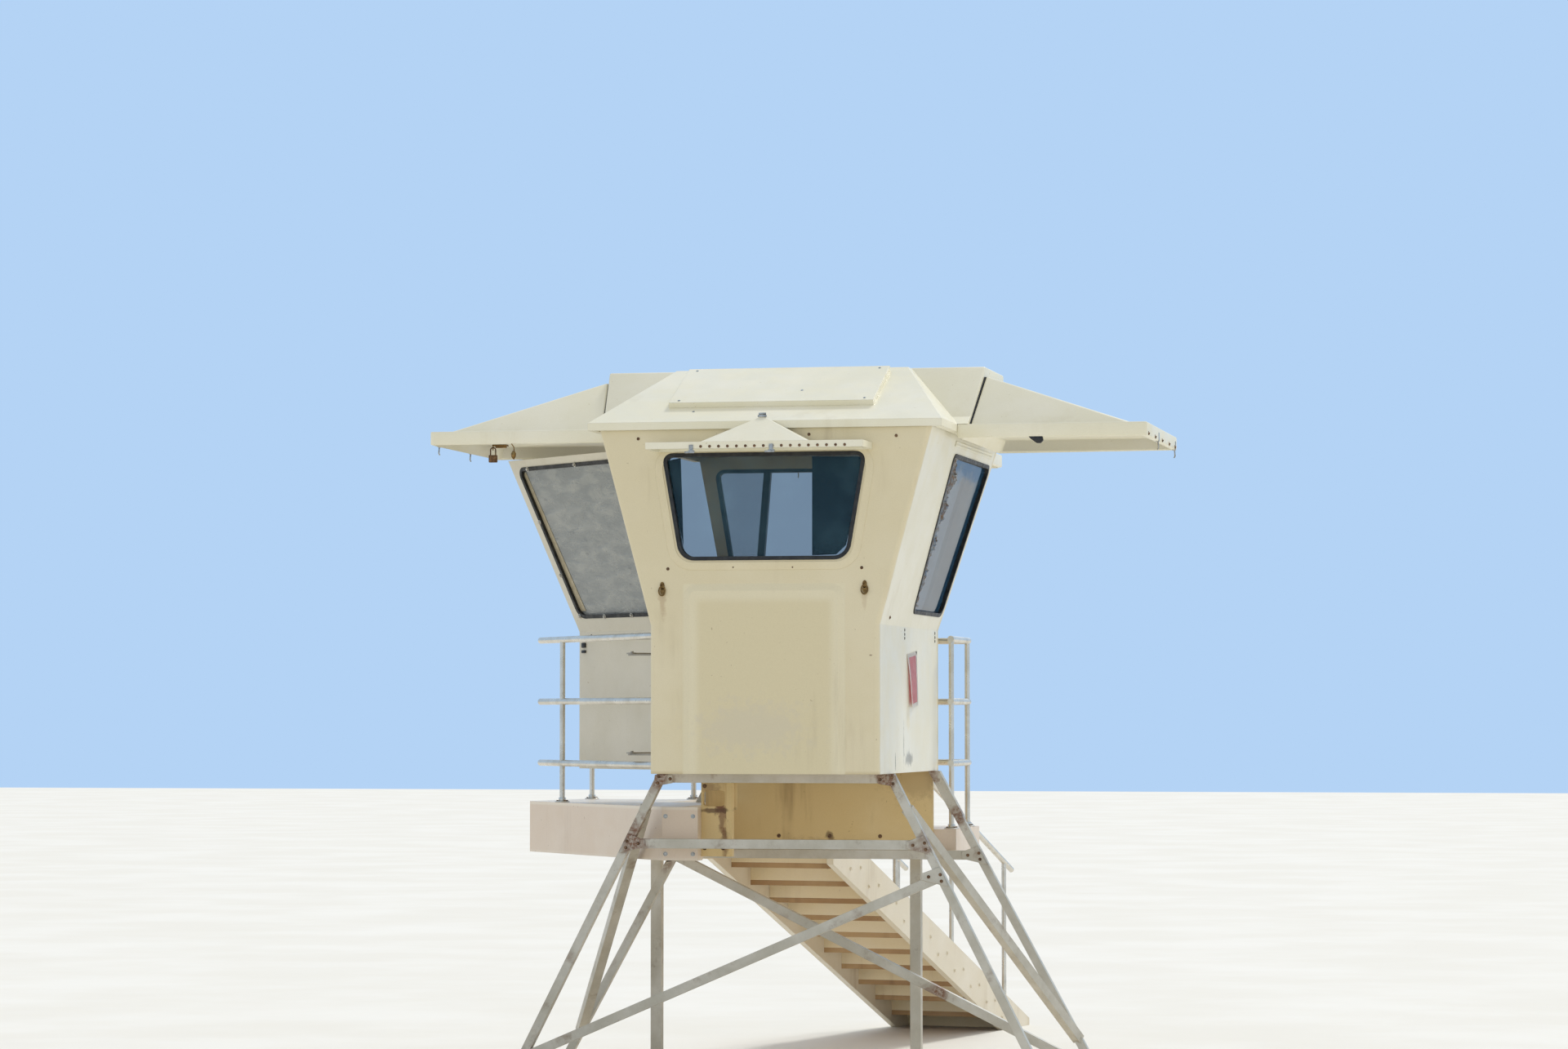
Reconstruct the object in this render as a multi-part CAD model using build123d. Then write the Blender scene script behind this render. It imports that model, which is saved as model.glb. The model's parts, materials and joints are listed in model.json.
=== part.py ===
from build123d import *
import math
import os

# Beach lifeguard tower: a flared fibreglass cab on splayed aluminium legs, with a deck,
# a railing and a long stair. X runs to the right of the rear wall, Y from the rear wall
# towards the sea side and the stair, Z up from the ground. All sizes are in millimetres.

# Cab
cab_bottom = 1700.0
upright_height = 778.0
flare_height = 1064.0
cab_width = 1220.0
eave_width = 1794.0
cab_depth = 1745.0
eave_depth = 2125.0
wall = 38.0
floor_thickness = 50.0
rear_corner_radius = 24.0
rear_panel_width = 860.0
rear_panel_above_knee = 212.0
rear_panel_raise = 16.0
rear_panel_slope_width = 34.0
rear_panel_radius = 70.0

# Windows
rear_window_head = 164.0
rear_window_sill = 337.0
rear_window_top_width = 1094.0
rear_window_bottom_width = 900.0
side_window_head = 130.0
side_window_sill = 74.0
side_window_rear_margin = 100.0
side_window_front_margin = 62.0
front_window_top_margin = 122.0
front_window_bottom_margin = 100.0
front_pane_width = 330.0
window_top_radius = 46.0
window_bottom_radius = 92.0
gasket_width = 20.0
gasket_proud = 5.0
glass_thickness = 6.0
mullion_width = 40.0

# Door, hinged on the left wall and standing open at rest
door_rear_edge = 750.0
door_foot_gap = 8.0
door_head = 87.0
door_gap = 6.0
door_rest_angle = 47.0
hinge_low = 90.0
hinge_middle = 630.0
hinge_below_head = 60.0
hinge_strap_width = 44.0
hinge_strap_thickness = 8.0
hinge_pin_radius = 8.0
hinge_pin_clearance = 0.08
hinge_strap_gap = 0.4
hinge_strap_setback = 12.0

# Roof
roof_rise = 328.0
roof_overhang = 48.0
rear_overhang = 20.0
roof_lip_depth = 40.0
roof_skin = 40.0
crown_width = 1274.0
crown_rear = 700.0
crown_front = 1450.0
gable_reach = 55.0
hatch_width = 1100.0
hatch_thickness = 30.0
hatch_margin_low = 210.0
hatch_margin_high = 60.0

# Raised window shutters and the small rear hood
shutter_reach = 1005.0
side_shutter_rear = 450.0
side_shutter_front = 1750.0
front_shutter_width = 1500.0
front_shutter_reach = 950.0
shutter_flange = 72.0
shutter_rim = 34.0
shutter_skin = 14.0
hood_width = 1150.0
hood_reach = 250.0
hood_drop = 157.0
hood_flange = 36.0
hood_peak_width = 560.0
hood_peak_height = 145.0
hood_gap = 5.0

# Frame of square aluminium tube
tube = 50.0
ring_height = 50.0
frame_width = 1274.0
frame_rear = 270.0
frame_front_setback = 105.0
joist_x = 355.0
rear_leg_spread = 0.507
front_leg_spread = 0.545
sleeve_size = 62.0
sleeve_length = 242.0
rear_beam_height = 1303.0
side_brace_top = 1518.0
side_brace_foot = 230.0
rear_brace_top = 1164.0
rear_brace_foot = 186.0
front_brace_top = 1225.0
front_brace_foot = 50.0
foot_plate_size = 200.0
foot_plate_thickness = 12.0
post_size = 60.0
left_post_x = -1040.0
right_post_x = 456.0
deck_post_ahead = 155.0

# Deck and landing
deck_top = 1520.0
deck_depth = 285.0
deck_rear = 385.0
deck_flange = 115.0
deck_flange_x = -444.0
deck_inner_x = -545.0
deck_bend_x = -640.0
deck_left_x = -1746.0
deck_left_setback = 5.0
deck_front_x = -1602.0
deck_ahead = 705.0
landing_right = 722.0
landing_top = 1375.0
landing_depth = 145.0
panel_thickness = 35.0
panel_side_gap = 13.0
trunk_right = -305.0
trunk_rib = 32.0
trunk_rib_proud = 10.0
trunk_bottom = 1256.0
trunk_hole_width = 120.0
trunk_hole_height = 85.0
trunk_hole_radius = 22.0
trunk_hole_top = 1607.0

# Railing
rail_radius = 18.0
post_radius = 15.0
rail_heights = (219.0, 565.0, 913.0)
rail_inset = 45.0
rail_overhang = 304.0
rail_end_gap = 45.0
rail_wall_reach = 100.0
front_rail_corner = 60.0

# Stair
stair_width = 690.0
stair_centre = -520.0
stair_turn = 10.4
stair_run_in = 100.0
riser_count = 12
going = 290.0
tread_thickness = 30.0
tread_nosing = 22.0
riser_thickness = 16.0
stringer_thickness = 38.0
stringer_above = 45.0
stringer_below = 200.0
stair_rail_height = 900.0
stair_post_count = 4

knee = cab_bottom + upright_height
eave = knee + flare_height
roof_top = eave + roof_rise
half_cab = cab_width / 2
half_eave = eave_width / 2
side_slope = (half_eave - half_cab) / flare_height
front_slope = (eave_depth - cab_depth) / flare_height
ring_bottom = cab_bottom - ring_height
deck_bottom = deck_top - deck_depth
rise = landing_top / riser_count
reach = 3 * eave_depth

rear_panel_top = knee + rear_panel_above_knee
rear_window_top = eave - rear_window_head
rear_window_bottom = knee + rear_window_sill
side_window_top = eave - side_window_head
side_window_bottom = knee + side_window_sill
side_window_rear = door_rear_edge + side_window_rear_margin
door_bottom = cab_bottom + door_foot_gap
door_top = eave - door_head
hinge_heights = (cab_bottom + hinge_low, cab_bottom + hinge_middle, door_top - hinge_below_head)
hood_bottom = eave - hood_drop
frame_front = cab_depth - frame_front_setback
panel_rear = frame_front
panel_right = half_cab - panel_side_gap
deck_left_y = cab_depth - deck_left_setback
deck_front = cab_depth + deck_ahead
deck_post_y = cab_depth + deck_post_ahead
landing_left = stair_centre - stair_width / 2 - stringer_thickness


def half_width_at(z):
    """Half the outer width of the cab at a height."""
    return half_cab + side_slope * max(z - knee, 0.0)


def front_at(z):
    """Outer face of the front wall at a height."""
    return cab_depth + front_slope * max(z - knee, 0.0)


def block(x, y, z):
    """Box between the two ends given for each axis."""
    size = Box(x[1] - x[0], y[1] - y[0], z[1] - z[0])
    return Pos((x[0] + x[1]) / 2, (y[0] + y[1]) / 2, (z[0] + z[1]) / 2) * size


def outline(points, radii=None):
    """Flat outline with each corner rounded by its own radius."""
    shape = Polygon(*points, align=None)
    for point, radius in zip(points, radii or ()):
        corner = shape.vertices().sort_by_distance((point[0], point[1], 0))[0]
        shape = fillet(corner, radius)
    return shape


def along_y(shape, y_from, y_to):
    """Solid from an outline in X and Z, run along Y."""
    return extrude(Pos(0, y_from, 0) * (Plane.XZ * shape), amount=y_to - y_from, dir=(0, 1, 0))


def along_x(shape, x_from, x_to):
    """Solid from an outline in Y and Z, run along X."""
    return extrude(Pos(x_from, 0, 0) * (Plane.YZ * shape), amount=x_to - x_from, dir=(1, 0, 0))


def along_z(shape, z_from, z_to):
    """Solid from an outline in X and Y, run up."""
    return extrude(Pos(0, 0, z_from) * shape, amount=z_to - z_from, dir=(0, 0, 1))


def cab_body(inset):
    """Whole volume of the cab with its side and end walls moved inwards by an inset."""
    section = Polygon(
        (-half_cab + inset, cab_bottom),
        (half_cab - inset, cab_bottom),
        (half_cab - inset, knee),
        (half_eave - inset, eave),
        (-half_eave + inset, eave),
        (-half_cab + inset, knee),
        align=None,
    )
    side = Polygon(
        (inset, cab_bottom),
        (cab_depth - inset, cab_bottom),
        (cab_depth - inset, knee),
        (eave_depth - inset, eave),
        (inset, eave),
        align=None,
    )
    return along_y(section, 0, eave_depth) & along_x(side, -half_eave, half_eave)


def side_slab(outer, inner, z_from=cab_bottom, z_to=eave):
    """Left side wall slab between two depths measured inwards from the outer face."""
    levels = [z_from] + ([knee] if z_from < knee < z_to else []) + [z_to]
    outside = [(-half_width_at(z) + outer, z) for z in levels]
    inside = [(-half_width_at(z) + inner, z) for z in reversed(levels)]
    return along_y(Polygon(*(outside + inside), align=None), -reach, reach)


def front_slab(outer, inner, z_from=cab_bottom, z_to=eave):
    """Front wall slab between two depths measured inwards from the outer face."""
    levels = [z_from] + ([knee] if z_from < knee < z_to else []) + [z_to]
    outside = [(front_at(z) - outer, z) for z in levels]
    inside = [(front_at(z) - inner, z) for z in reversed(levels)]
    return along_x(Polygon(*(outside + inside), align=None), -reach, reach)


def rear_window_outline():
    top = rear_window_top_width / 2
    low = rear_window_bottom_width / 2
    points = (
        (-top, rear_window_top),
        (top, rear_window_top),
        (low, rear_window_bottom),
        (-low, rear_window_bottom),
    )
    radii = (window_top_radius, window_top_radius, window_bottom_radius, window_bottom_radius)
    return outline(points, radii)


def side_window_outline():
    points = (
        (side_window_rear, side_window_bottom),
        (side_window_rear, side_window_top),
        (front_at(side_window_top) - side_window_front_margin, side_window_top),
        (front_at(side_window_bottom) - side_window_front_margin, side_window_bottom),
    )
    radii = (window_top_radius, window_top_radius, window_top_radius, window_bottom_radius)
    return outline(points, radii)


def front_window_half():
    """Half the width of the front window at its top."""
    return half_width_at(side_window_top) - front_window_top_margin


def front_window_outline():
    top = front_window_half()
    low = half_width_at(side_window_bottom) - front_window_bottom_margin
    points = (
        (-top, side_window_top),
        (top, side_window_top),
        (low, side_window_bottom),
        (-low, side_window_bottom),
    )
    radii = (window_top_radius, window_top_radius, window_bottom_radius, window_bottom_radius)
    return outline(points, radii)


def front_wall_space():
    """Everything from the inner face of the front wall forwards."""
    points = (
        (cab_depth - wall, cab_bottom),
        (reach, cab_bottom),
        (reach, eave),
        (eave_depth - wall, eave),
        (cab_depth - wall, knee),
    )
    return along_x(Polygon(*points, align=None), -reach, reach)


def doorway_space():
    """What the door leaf and its running gap take out of the left wall and its neighbours."""
    slab = side_slab(-wall, wall + door_gap, cab_bottom - floor_thickness, door_top + door_gap)
    return slab & block(
        (-reach, reach), (door_rear_edge, reach), (cab_bottom - floor_thickness, door_top + door_gap)
    )


def rear_panel_outline(inset):
    """Rounded outline of the raised lower panel, drawn in from its edge by an inset."""
    half = rear_panel_width / 2 - inset
    top = rear_panel_top - inset
    points = ((-half, cab_bottom), (half, cab_bottom), (half, top), (-half, top))
    shape = Polygon(*points, align=None)
    upper = shape.vertices().filter_by(lambda v: v.Y > cab_bottom + 1)
    return fillet(upper, rear_panel_radius - inset)


def make_rear_wall():
    plate = cab_body(0) & block((-reach, reach), (0, wall), (cab_bottom, eave))
    upright = plate.edges().filter_by(lambda e: abs(e.center().X) > half_cab - 1 and e.center().Y < 1)
    sides = upright.filter_by(lambda e: e.length > flare_height / 2)
    plate = fillet(sides, rear_corner_radius)
    slope = rear_panel_slope_width
    foot = Plane.XZ * rear_panel_outline(0)
    crest = Pos(0, -rear_panel_raise, 0) * (Plane.XZ * rear_panel_outline(slope))
    raised = loft([foot, crest], ruled=True)
    return plate + raised - along_y(rear_window_outline(), -reach, reach)


def make_right_wall():
    shell = mirror(side_slab(0, wall), about=Plane.YZ) & block(
        (0, reach), (wall, reach), (cab_bottom, eave)
    )
    window = along_x(side_window_outline(), 0, reach)
    return shell - front_wall_space() - window


def make_left_rear_wall():
    return side_slab(0, wall) & block((-reach, 0), (wall, door_rear_edge), (cab_bottom, eave))


def make_front_wall():
    window = along_y(front_window_outline(), cab_depth - 2 * wall, reach)
    return (cab_body(0) & front_wall_space()) - doorway_space() - window


def make_door_header():
    head = side_slab(0, wall) & block(
        (-reach, 0), (door_rear_edge, reach), (door_top + door_gap, eave)
    )
    return head - front_wall_space()


def make_cab_floor():
    space = block(
        (-half_cab + wall, half_cab - wall),
        (wall, cab_depth - wall),
        (cab_bottom, cab_bottom + floor_thickness),
    )
    return space - doorway_space()


def in_side_wall(shape, outer, inner):
    """Piece of the left wall's thickness inside an outline drawn in Y and Z."""
    return side_slab(outer, inner) & along_x(shape, -reach, 0)


def make_side_gasket():
    frame = side_window_outline() - offset(side_window_outline(), -gasket_width)
    return in_side_wall(frame, -gasket_proud, wall + gasket_proud)


def make_side_glass():
    middle = wall / 2
    pane = offset(side_window_outline(), -gasket_width)
    return in_side_wall(pane, middle - glass_thickness / 2, middle + glass_thickness / 2)


def make_rear_gasket():
    frame = rear_window_outline() - offset(rear_window_outline(), -gasket_width)
    return along_y(frame, -gasket_proud, wall + gasket_proud)


def make_rear_glass():
    pane = offset(rear_window_outline(), -gasket_width)
    middle = wall / 2
    return along_y(pane, middle - glass_thickness / 2, middle + glass_thickness / 2)


def make_front_gasket():
    frame = front_window_outline() - offset(front_window_outline(), -gasket_width)
    return front_slab(-gasket_proud, wall + gasket_proud) & along_y(frame, 0, reach)


def front_bay(x_from, x_to):
    """Stretch of the front window between two distances from the middle, on both sides."""
    right = block((x_from, x_to), (0, reach), (side_window_bottom, side_window_top))
    return right + mirror(right, about=Plane.YZ)


def make_front_mullions():
    opening = along_y(offset(front_window_outline(), -gasket_width), 0, reach)
    inner = front_window_half() - front_pane_width
    bars = front_bay(inner, inner + mullion_width)
    return front_slab(0, wall) & opening & bars


def make_front_panes():
    opening = along_y(offset(front_window_outline(), -gasket_width), 0, reach)
    edge = front_window_half() - front_pane_width + mullion_width
    middle = wall / 2
    slab = front_slab(middle - glass_thickness / 2, middle + glass_thickness / 2)
    return slab & opening & front_bay(edge, half_eave)


def door_leaf_closed():
    space = block((-reach, 0), (door_rear_edge + door_gap, reach), (door_bottom, door_top))
    side = Polygon(
        (0, cab_bottom),
        (cab_depth, cab_bottom),
        (cab_depth, knee),
        (eave_depth, eave),
        (0, eave),
        align=None,
    )
    bounds = along_x(side, -reach, 0)
    return (side_slab(0, wall) & space & bounds) - along_x(side_window_outline(), -reach, 0)


hinge_x = -half_eave
hinge_y = door_rear_edge
hinge_axis = Axis((hinge_x, hinge_y, 0), (0, 0, 1))


def opened(shape):
    """Turn a piece of the door from closed to where it rests."""
    return shape.rotate(hinge_axis, door_rest_angle)


def make_roof():
    rear = -rear_overhang
    front = eave_depth + roof_overhang
    half_lip = half_eave + roof_overhang
    half_crown = crown_width / 2

    def hipped(inset):
        across = Polygon(
            (-half_lip + inset, eave),
            (half_lip - inset, eave),
            (half_crown - inset, roof_top - inset),
            (-half_crown + inset, roof_top - inset),
            align=None,
        )
        along = Polygon(
            (rear + inset, eave),
            (front - inset, eave),
            (crown_front - inset, roof_top - inset),
            (crown_rear + inset, roof_top - inset),
            align=None,
        )
        return along_y(across, rear, front) & along_x(along, -half_lip, half_lip)

    side_middle = (side_shutter_rear + side_shutter_front) / 2
    side_gable = along_x(
        Polygon(
            (side_shutter_rear, eave), (side_shutter_front, eave), (side_middle, roof_top), align=None
        ),
        -half_lip - gable_reach,
        half_lip + gable_reach,
    )
    half_front = front_shutter_width / 2
    front_gable = along_y(
        Polygon((-half_front, eave), (half_front, eave), (0, roof_top), align=None),
        side_middle,
        front + gable_reach,
    )
    lip_bottom = eave - roof_lip_depth
    lip = block((-half_lip, half_lip), (rear, front), (lip_bottom, eave))
    lip_hole = block(
        (-half_eave - 5, half_eave + 5), (rear + 15, front - roof_skin), (lip_bottom, eave)
    )
    return hipped(0) + side_gable + front_gable + (lip - lip_hole) - hipped(roof_overhang + wall)


def make_roof_hatch():
    """Raised panel lying on the rear slope of the roof."""
    run = crown_rear + rear_overhang
    slope_angle = math.degrees(math.atan2(roof_rise, run))
    length = math.hypot(run, roof_rise) - hatch_margin_low - hatch_margin_high
    middle = hatch_margin_low + length / 2
    plate = Pos(0, middle, hatch_thickness / 2) * Box(hatch_width, length, hatch_thickness)
    tilt = Pos(0, -rear_overhang, eave) * Rot(slope_angle, 0, 0)
    return tilt * plate


def half_pyramid(half_base, y_rear, depth, height, base):
    """Pyramid cut through its apex: base edge towards +Y is vertical, apex over its middle."""
    across = along_y(
        Polygon((-half_base, base), (half_base, base), (0, base + height), align=None),
        y_rear - depth,
        y_rear,
    )
    side = Polygon((y_rear - depth, base), (y_rear, base), (y_rear, base + height), align=None)
    return across & along_x(side, -half_base, half_base)


def shutter(width, length, gable):
    """Raised shutter with its hinge edge at Y 0 and its outer edge towards -Y."""
    half = width / 2
    bottom = eave - shutter_flange
    plate = block((-half, half), (-length, 0), (bottom, eave))
    pocket = block(
        (-half + shutter_rim, half - shutter_rim),
        (-length + shutter_rim, -shutter_rim),
        (bottom, eave - shutter_skin),
    )
    cap = half_pyramid(half, -gable, length - gable, roof_rise, eave)
    hollow = half_pyramid(
        half - shutter_rim * 2, -gable - shutter_skin, length - gable - shutter_rim * 3,
        roof_rise * 0.8, eave - shutter_skin,
    )
    return plate + cap - pocket - hollow


def make_side_shutter(side):
    width = side_shutter_front - side_shutter_rear
    middle = (side_shutter_rear + side_shutter_front) / 2
    panel = shutter(width, shutter_reach, gable_reach)
    turned = Rot(0, 0, 90 * side) * panel
    return Pos(side * (half_eave + roof_overhang), middle, 0) * turned


def make_front_shutter():
    panel = shutter(front_shutter_width, front_shutter_reach, gable_reach)
    return Pos(0, eave_depth + roof_overhang, 0) * (Rot(0, 0, 180) * panel)


def make_rear_hood():
    half = hood_width / 2
    top = hood_bottom + hood_flange
    plate = block((-half, half), (-hood_reach, 0), (hood_bottom, top))
    pocket = block(
        (-half + shutter_rim / 2, half - shutter_rim / 2),
        (-hood_reach + shutter_rim / 2, -shutter_rim / 2),
        (hood_bottom, top - shutter_skin / 2),
    )
    start = rear_overhang + hood_gap
    peak = half_pyramid(hood_peak_width / 2, -start, hood_reach - start, hood_peak_height, top)
    return plate - pocket + peak


def slanted_bar(start, end, width, depth):
    """Square tube as a level section carried along a sloping line between two points."""
    line = Vector(*end) - Vector(*start)
    face = Pos(*start) * Rectangle(width, depth)
    return extrude(face, amount=line.length, dir=line)


leg_top_x = (frame_width - tube) / 2
rear_leg_top_y = frame_rear + tube / 2
front_leg_top_y = frame_front - tube / 2


def leg_point(side, end, z):
    """Point on a leg's centre line at a height. The side is -1 left, 1 right."""
    drop = cab_bottom - z
    if end == "rear":
        return (side * (leg_top_x + rear_leg_spread * drop), rear_leg_top_y, z)
    return (side * (leg_top_x + front_leg_spread * drop), front_leg_top_y, z)


def make_leg(side, end):
    return slanted_bar(
        leg_point(side, end, foot_plate_thickness), leg_point(side, end, cab_bottom), tube, tube
    )


def make_leg_sleeve(side, leg):
    """Short larger tube round the top of a front leg."""
    low = leg_point(side, "front", cab_bottom - sleeve_length)
    high = leg_point(side, "front", cab_bottom)
    return slanted_bar(low, high, sleeve_size, sleeve_size) - leg


def make_foot_plates():
    plates = []
    for side in (-1, 1):
        for end in ("rear", "front"):
            x, y, z = leg_point(side, end, foot_plate_thickness)
            plates.append((x, y))
    for x in (left_post_x, right_post_x):
        plates.append((x, deck_post_y))
    half = foot_plate_size / 2
    solids = [
        block((x - half, x + half), (y - half, y + half), (0, foot_plate_thickness))
        for x, y in plates
    ]
    return Compound(children=solids)


def between_legs(bar, legs):
    """Trim a bar where it meets the legs."""
    for leg in legs:
        bar = bar - leg
    return bar


def inner_piece(bar):
    """The middle one of the pieces that trimming leaves."""
    pieces = bar.solids().sort_by(SortBy.VOLUME)
    return pieces[-1]


def make_ring_cross_beams(rear_legs):
    """Beam between the tops of the rear legs, and a shorter one that carries the floor's front."""
    high = (ring_bottom, cab_bottom)
    rear = block((-leg_top_x, leg_top_x), (frame_rear, frame_rear + tube), high)
    half = joist_x + tube / 2
    front = block((-half, half), (frame_front - tube, frame_front), high)
    return Compound(children=[inner_piece(between_legs(rear, rear_legs)), front])


def make_ring_side_beams():
    """Floor joists between the two cross beams."""
    along = (frame_rear + tube, frame_front - tube)
    return Compound(
        children=[
            block((x - tube / 2, x + tube / 2), along, (ring_bottom, cab_bottom))
            for x in (-joist_x, joist_x)
        ]
    )


def lower_beam(end, z_middle, legs):
    left = leg_point(-1, end, z_middle)
    right = leg_point(1, end, z_middle)
    bar = block(
        (left[0], right[0]),
        (left[1] - tube / 2, left[1] + tube / 2),
        (z_middle - tube / 2, z_middle + tube / 2),
    )
    return inner_piece(between_legs(bar, legs))


def sloping_brace(start, end, legs):
    """Square tube between points on two legs, cut to fit against them."""
    line = Vector(*end) - Vector(*start)
    level = line.cross(Vector(0, 0, 1))
    face = Plane(origin=start, x_dir=level, z_dir=line) * Rectangle(tube, tube)
    bar = extrude(face, amount=line.length, dir=line)
    return inner_piece(between_legs(bar, legs))


def make_side_diagonal(side, legs):
    """Diagonal in the plane of one side's legs, from high on the rear leg to the front foot."""
    start = leg_point(side, "front", side_brace_foot)
    end = leg_point(side, "rear", side_brace_top)
    return sloping_brace(start, end, legs)


def make_cross_brace(end, top_side, foot_z, top_z, legs):
    start = leg_point(-top_side, end, foot_z)
    stop = leg_point(top_side, end, top_z)
    return sloping_brace(start, stop, legs)


def make_deck_posts():
    posts = []
    for x, top in ((left_post_x, deck_bottom), (right_post_x, landing_top - landing_depth)):
        half = post_size / 2
        posts.append(
            block(
                (x - half, x + half),
                (deck_post_y - half, deck_post_y + half),
                (foot_plate_thickness, top),
            )
        )
    return Compound(children=posts)


def make_deck(through):
    """Deep moulded deck with a flange that turns in below the cab, let down over the frame."""
    plan = Polygon(
        (deck_flange_x, deck_rear),
        (deck_bend_x, deck_rear),
        (deck_left_x, deck_left_y),
        (deck_front_x, deck_front),
        (landing_left, deck_front),
        (landing_left, panel_rear + panel_thickness),
        (deck_inner_x, panel_rear + panel_thickness),
        (deck_inner_x, deck_rear + deck_flange),
        (deck_flange_x, deck_rear + deck_flange),
        align=None,
    )
    return inner_piece(between_legs(along_z(plan, deck_bottom, deck_top), through))


def make_landing():
    return block(
        (landing_left, landing_right),
        (panel_rear + panel_thickness, deck_front),
        (landing_top - landing_depth, landing_top),
    )


def make_trunk_panel():
    """Narrow panel beside the deck's flange, with a rib on its free edge and a rounded opening."""
    front = deck_rear + deck_flange
    rear = front - panel_thickness
    panel = block((deck_flange_x, trunk_right), (rear, front), (trunk_bottom, ring_bottom))
    rib = block(
        (trunk_right, trunk_right + trunk_rib), (rear - trunk_rib_proud, front), (trunk_bottom, ring_bottom)
    )
    middle = (deck_flange_x + trunk_right) / 2
    hole = Pos(middle, trunk_hole_top - trunk_hole_height / 2) * RectangleRounded(
        trunk_hole_width, trunk_hole_height, trunk_hole_radius
    )
    return panel + rib - along_y(hole, rear - tube, front + tube)


def make_under_cab_panel(through):
    """Bulkhead below the front of the cab, with the narrow panel beside the deck."""
    wide = block(
        (deck_inner_x, panel_right), (panel_rear, panel_rear + panel_thickness), (deck_bottom, cab_bottom)
    )
    return Compound(children=[inner_piece(between_legs(wide, through)), make_trunk_panel()])


def level_rail(points, z, radius=None):
    """Round tube along level points, with bends of one radius."""
    spots = [(x, y, z) for x, y in points]
    path = FilletPolyline(*spots, radius=radius) if radius else Line(*spots)
    direction = path % 0
    ring = Plane(origin=spots[0], z_dir=direction) * Circle(rail_radius)
    return sweep(ring, path=path)


deck_edge = Vector(deck_left_x - deck_bend_x, deck_left_y - deck_rear)
deck_edge_length = deck_edge.length
deck_edge_way = deck_edge.normalized()
deck_edge_inward = Vector(-deck_edge_way.Y, deck_edge_way.X) * -1


def deck_edge_point(distance):
    """Point on the railing line along the slanting deck edge."""
    start = Vector(deck_bend_x, deck_rear) + deck_edge_inward * rail_inset
    spot = start + deck_edge_way * distance
    return (spot.X, spot.Y)


def stair_side(side):
    """Outer face of the stair on one side."""
    return stair_centre + side * (stair_width / 2 + stringer_thickness)


front_rail_y = deck_front - rail_inset
landing_rail_x = landing_right - rail_inset
deck_rail_x = deck_front_x + rail_inset
post_rear_y = eave_depth - 2 * rail_inset


def rail_levels():
    return [deck_top + height for height in rail_heights]


def rail_post_places():
    """Posts as plan point and the height of the floor below."""
    slant = deck_edge_point(deck_edge_length - rail_end_gap - rail_overhang)
    return (
        (slant, deck_top),
        ((deck_rail_x, front_rail_y), deck_top),
        ((landing_left - rail_inset, front_rail_y), deck_top),
        ((stair_side(1) + rail_inset, front_rail_y), landing_top),
        ((landing_rail_x, front_rail_y - rail_inset * 2), landing_top),
        ((landing_rail_x, cab_depth + rail_inset), landing_top),
    )


def make_rails():
    """Level rails on the slanting edge, the deck's front edge and round the landing."""
    tubes = []
    for z in rail_levels():
        near_wall = deck_edge_point(-rail_wall_reach)
        far = deck_edge_point(deck_edge_length - rail_end_gap)
        slant = level_rail((near_wall, far), z)
        tubes.append(slant - block((-half_cab, half_cab), (-reach, reach), (0, roof_top)))
        tubes.append(
            level_rail(
                ((deck_rail_x - rail_inset / 2, front_rail_y), (landing_left, front_rail_y)), z
            )
        )
        tubes.append(
            level_rail(
                (
                    (stair_side(1), front_rail_y),
                    (landing_rail_x, front_rail_y),
                    (landing_rail_x, cab_depth + rail_inset / 2),
                ),
                z,
                front_rail_corner,
            )
        )
    return tubes


def make_rail_posts(rails):
    posts = []
    for (x, y), floor in rail_post_places():
        top = deck_top + rail_heights[-1]
        post = Pos(x, y, floor) * Cylinder(
            post_radius, top - floor, align=(Align.CENTER, Align.CENTER, Align.MIN)
        )
        for rail in rails:
            post = post - rail
        posts.extend(post.solids())
    return Compound(children=posts)


def tread_line(step):
    """Rear edge and top of a tread, counted from 1 below the landing."""
    return deck_front + (step - 1) * going, landing_top - step * rise


stair_axis = Axis((stair_centre, deck_front, 0), (0, 0, 1))


def turned_stair(shape):
    """Swing a straight piece of the stair to its own direction and fit it against the landing."""
    swung = shape.rotate(stair_axis, -stair_turn)
    return swung - block((-reach, reach), (0, deck_front), (0, eave))


def make_stair_treads():
    half = stair_width / 2
    treads = []
    for step in range(1, riser_count):
        y, z = tread_line(step)
        rear = y - stair_run_in if step == 1 else y - riser_thickness
        treads.append(
            block(
                (stair_centre - half, stair_centre + half),
                (rear, y + going + tread_nosing),
                (z - tread_thickness, z),
            )
        )
    return Compound(children=[turned_stair(tread) for tread in treads])


def make_stair_risers():
    half = stair_width / 2
    boards = []
    for step in range(1, riser_count):
        y, z = tread_line(step)
        foot = z - rise
        boards.append(
            block(
                (stair_centre - half, stair_centre + half),
                (y + going - riser_thickness, y + going),
                (foot, z - tread_thickness),
            )
        )
    return Compound(children=[turned_stair(board) for board in boards])


def stair_line(y):
    """Height of the line through the tread noses."""
    return landing_top - (y - deck_front) * rise / going


def make_stair_stringers():
    top = deck_front - stair_run_in
    end = deck_front + riser_count * going
    high = min(landing_top, stair_line(deck_front) + stringer_above)
    shoulder = deck_front + (stringer_above / rise) * going
    points = (
        (top, high),
        (shoulder, high),
        (end, stringer_above),
        (end, 0),
        (deck_front + (landing_top - stringer_below) * going / rise, 0),
        (deck_front, landing_top - stringer_below),
        (top, landing_top - stringer_below),
    )
    boards = []
    for side in (-1, 1):
        inner = stair_centre + side * stair_width / 2
        outer = stair_side(side)
        boards.append(along_x(Polygon(*points, align=None), min(inner, outer), max(inner, outer)))
    return boards


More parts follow.
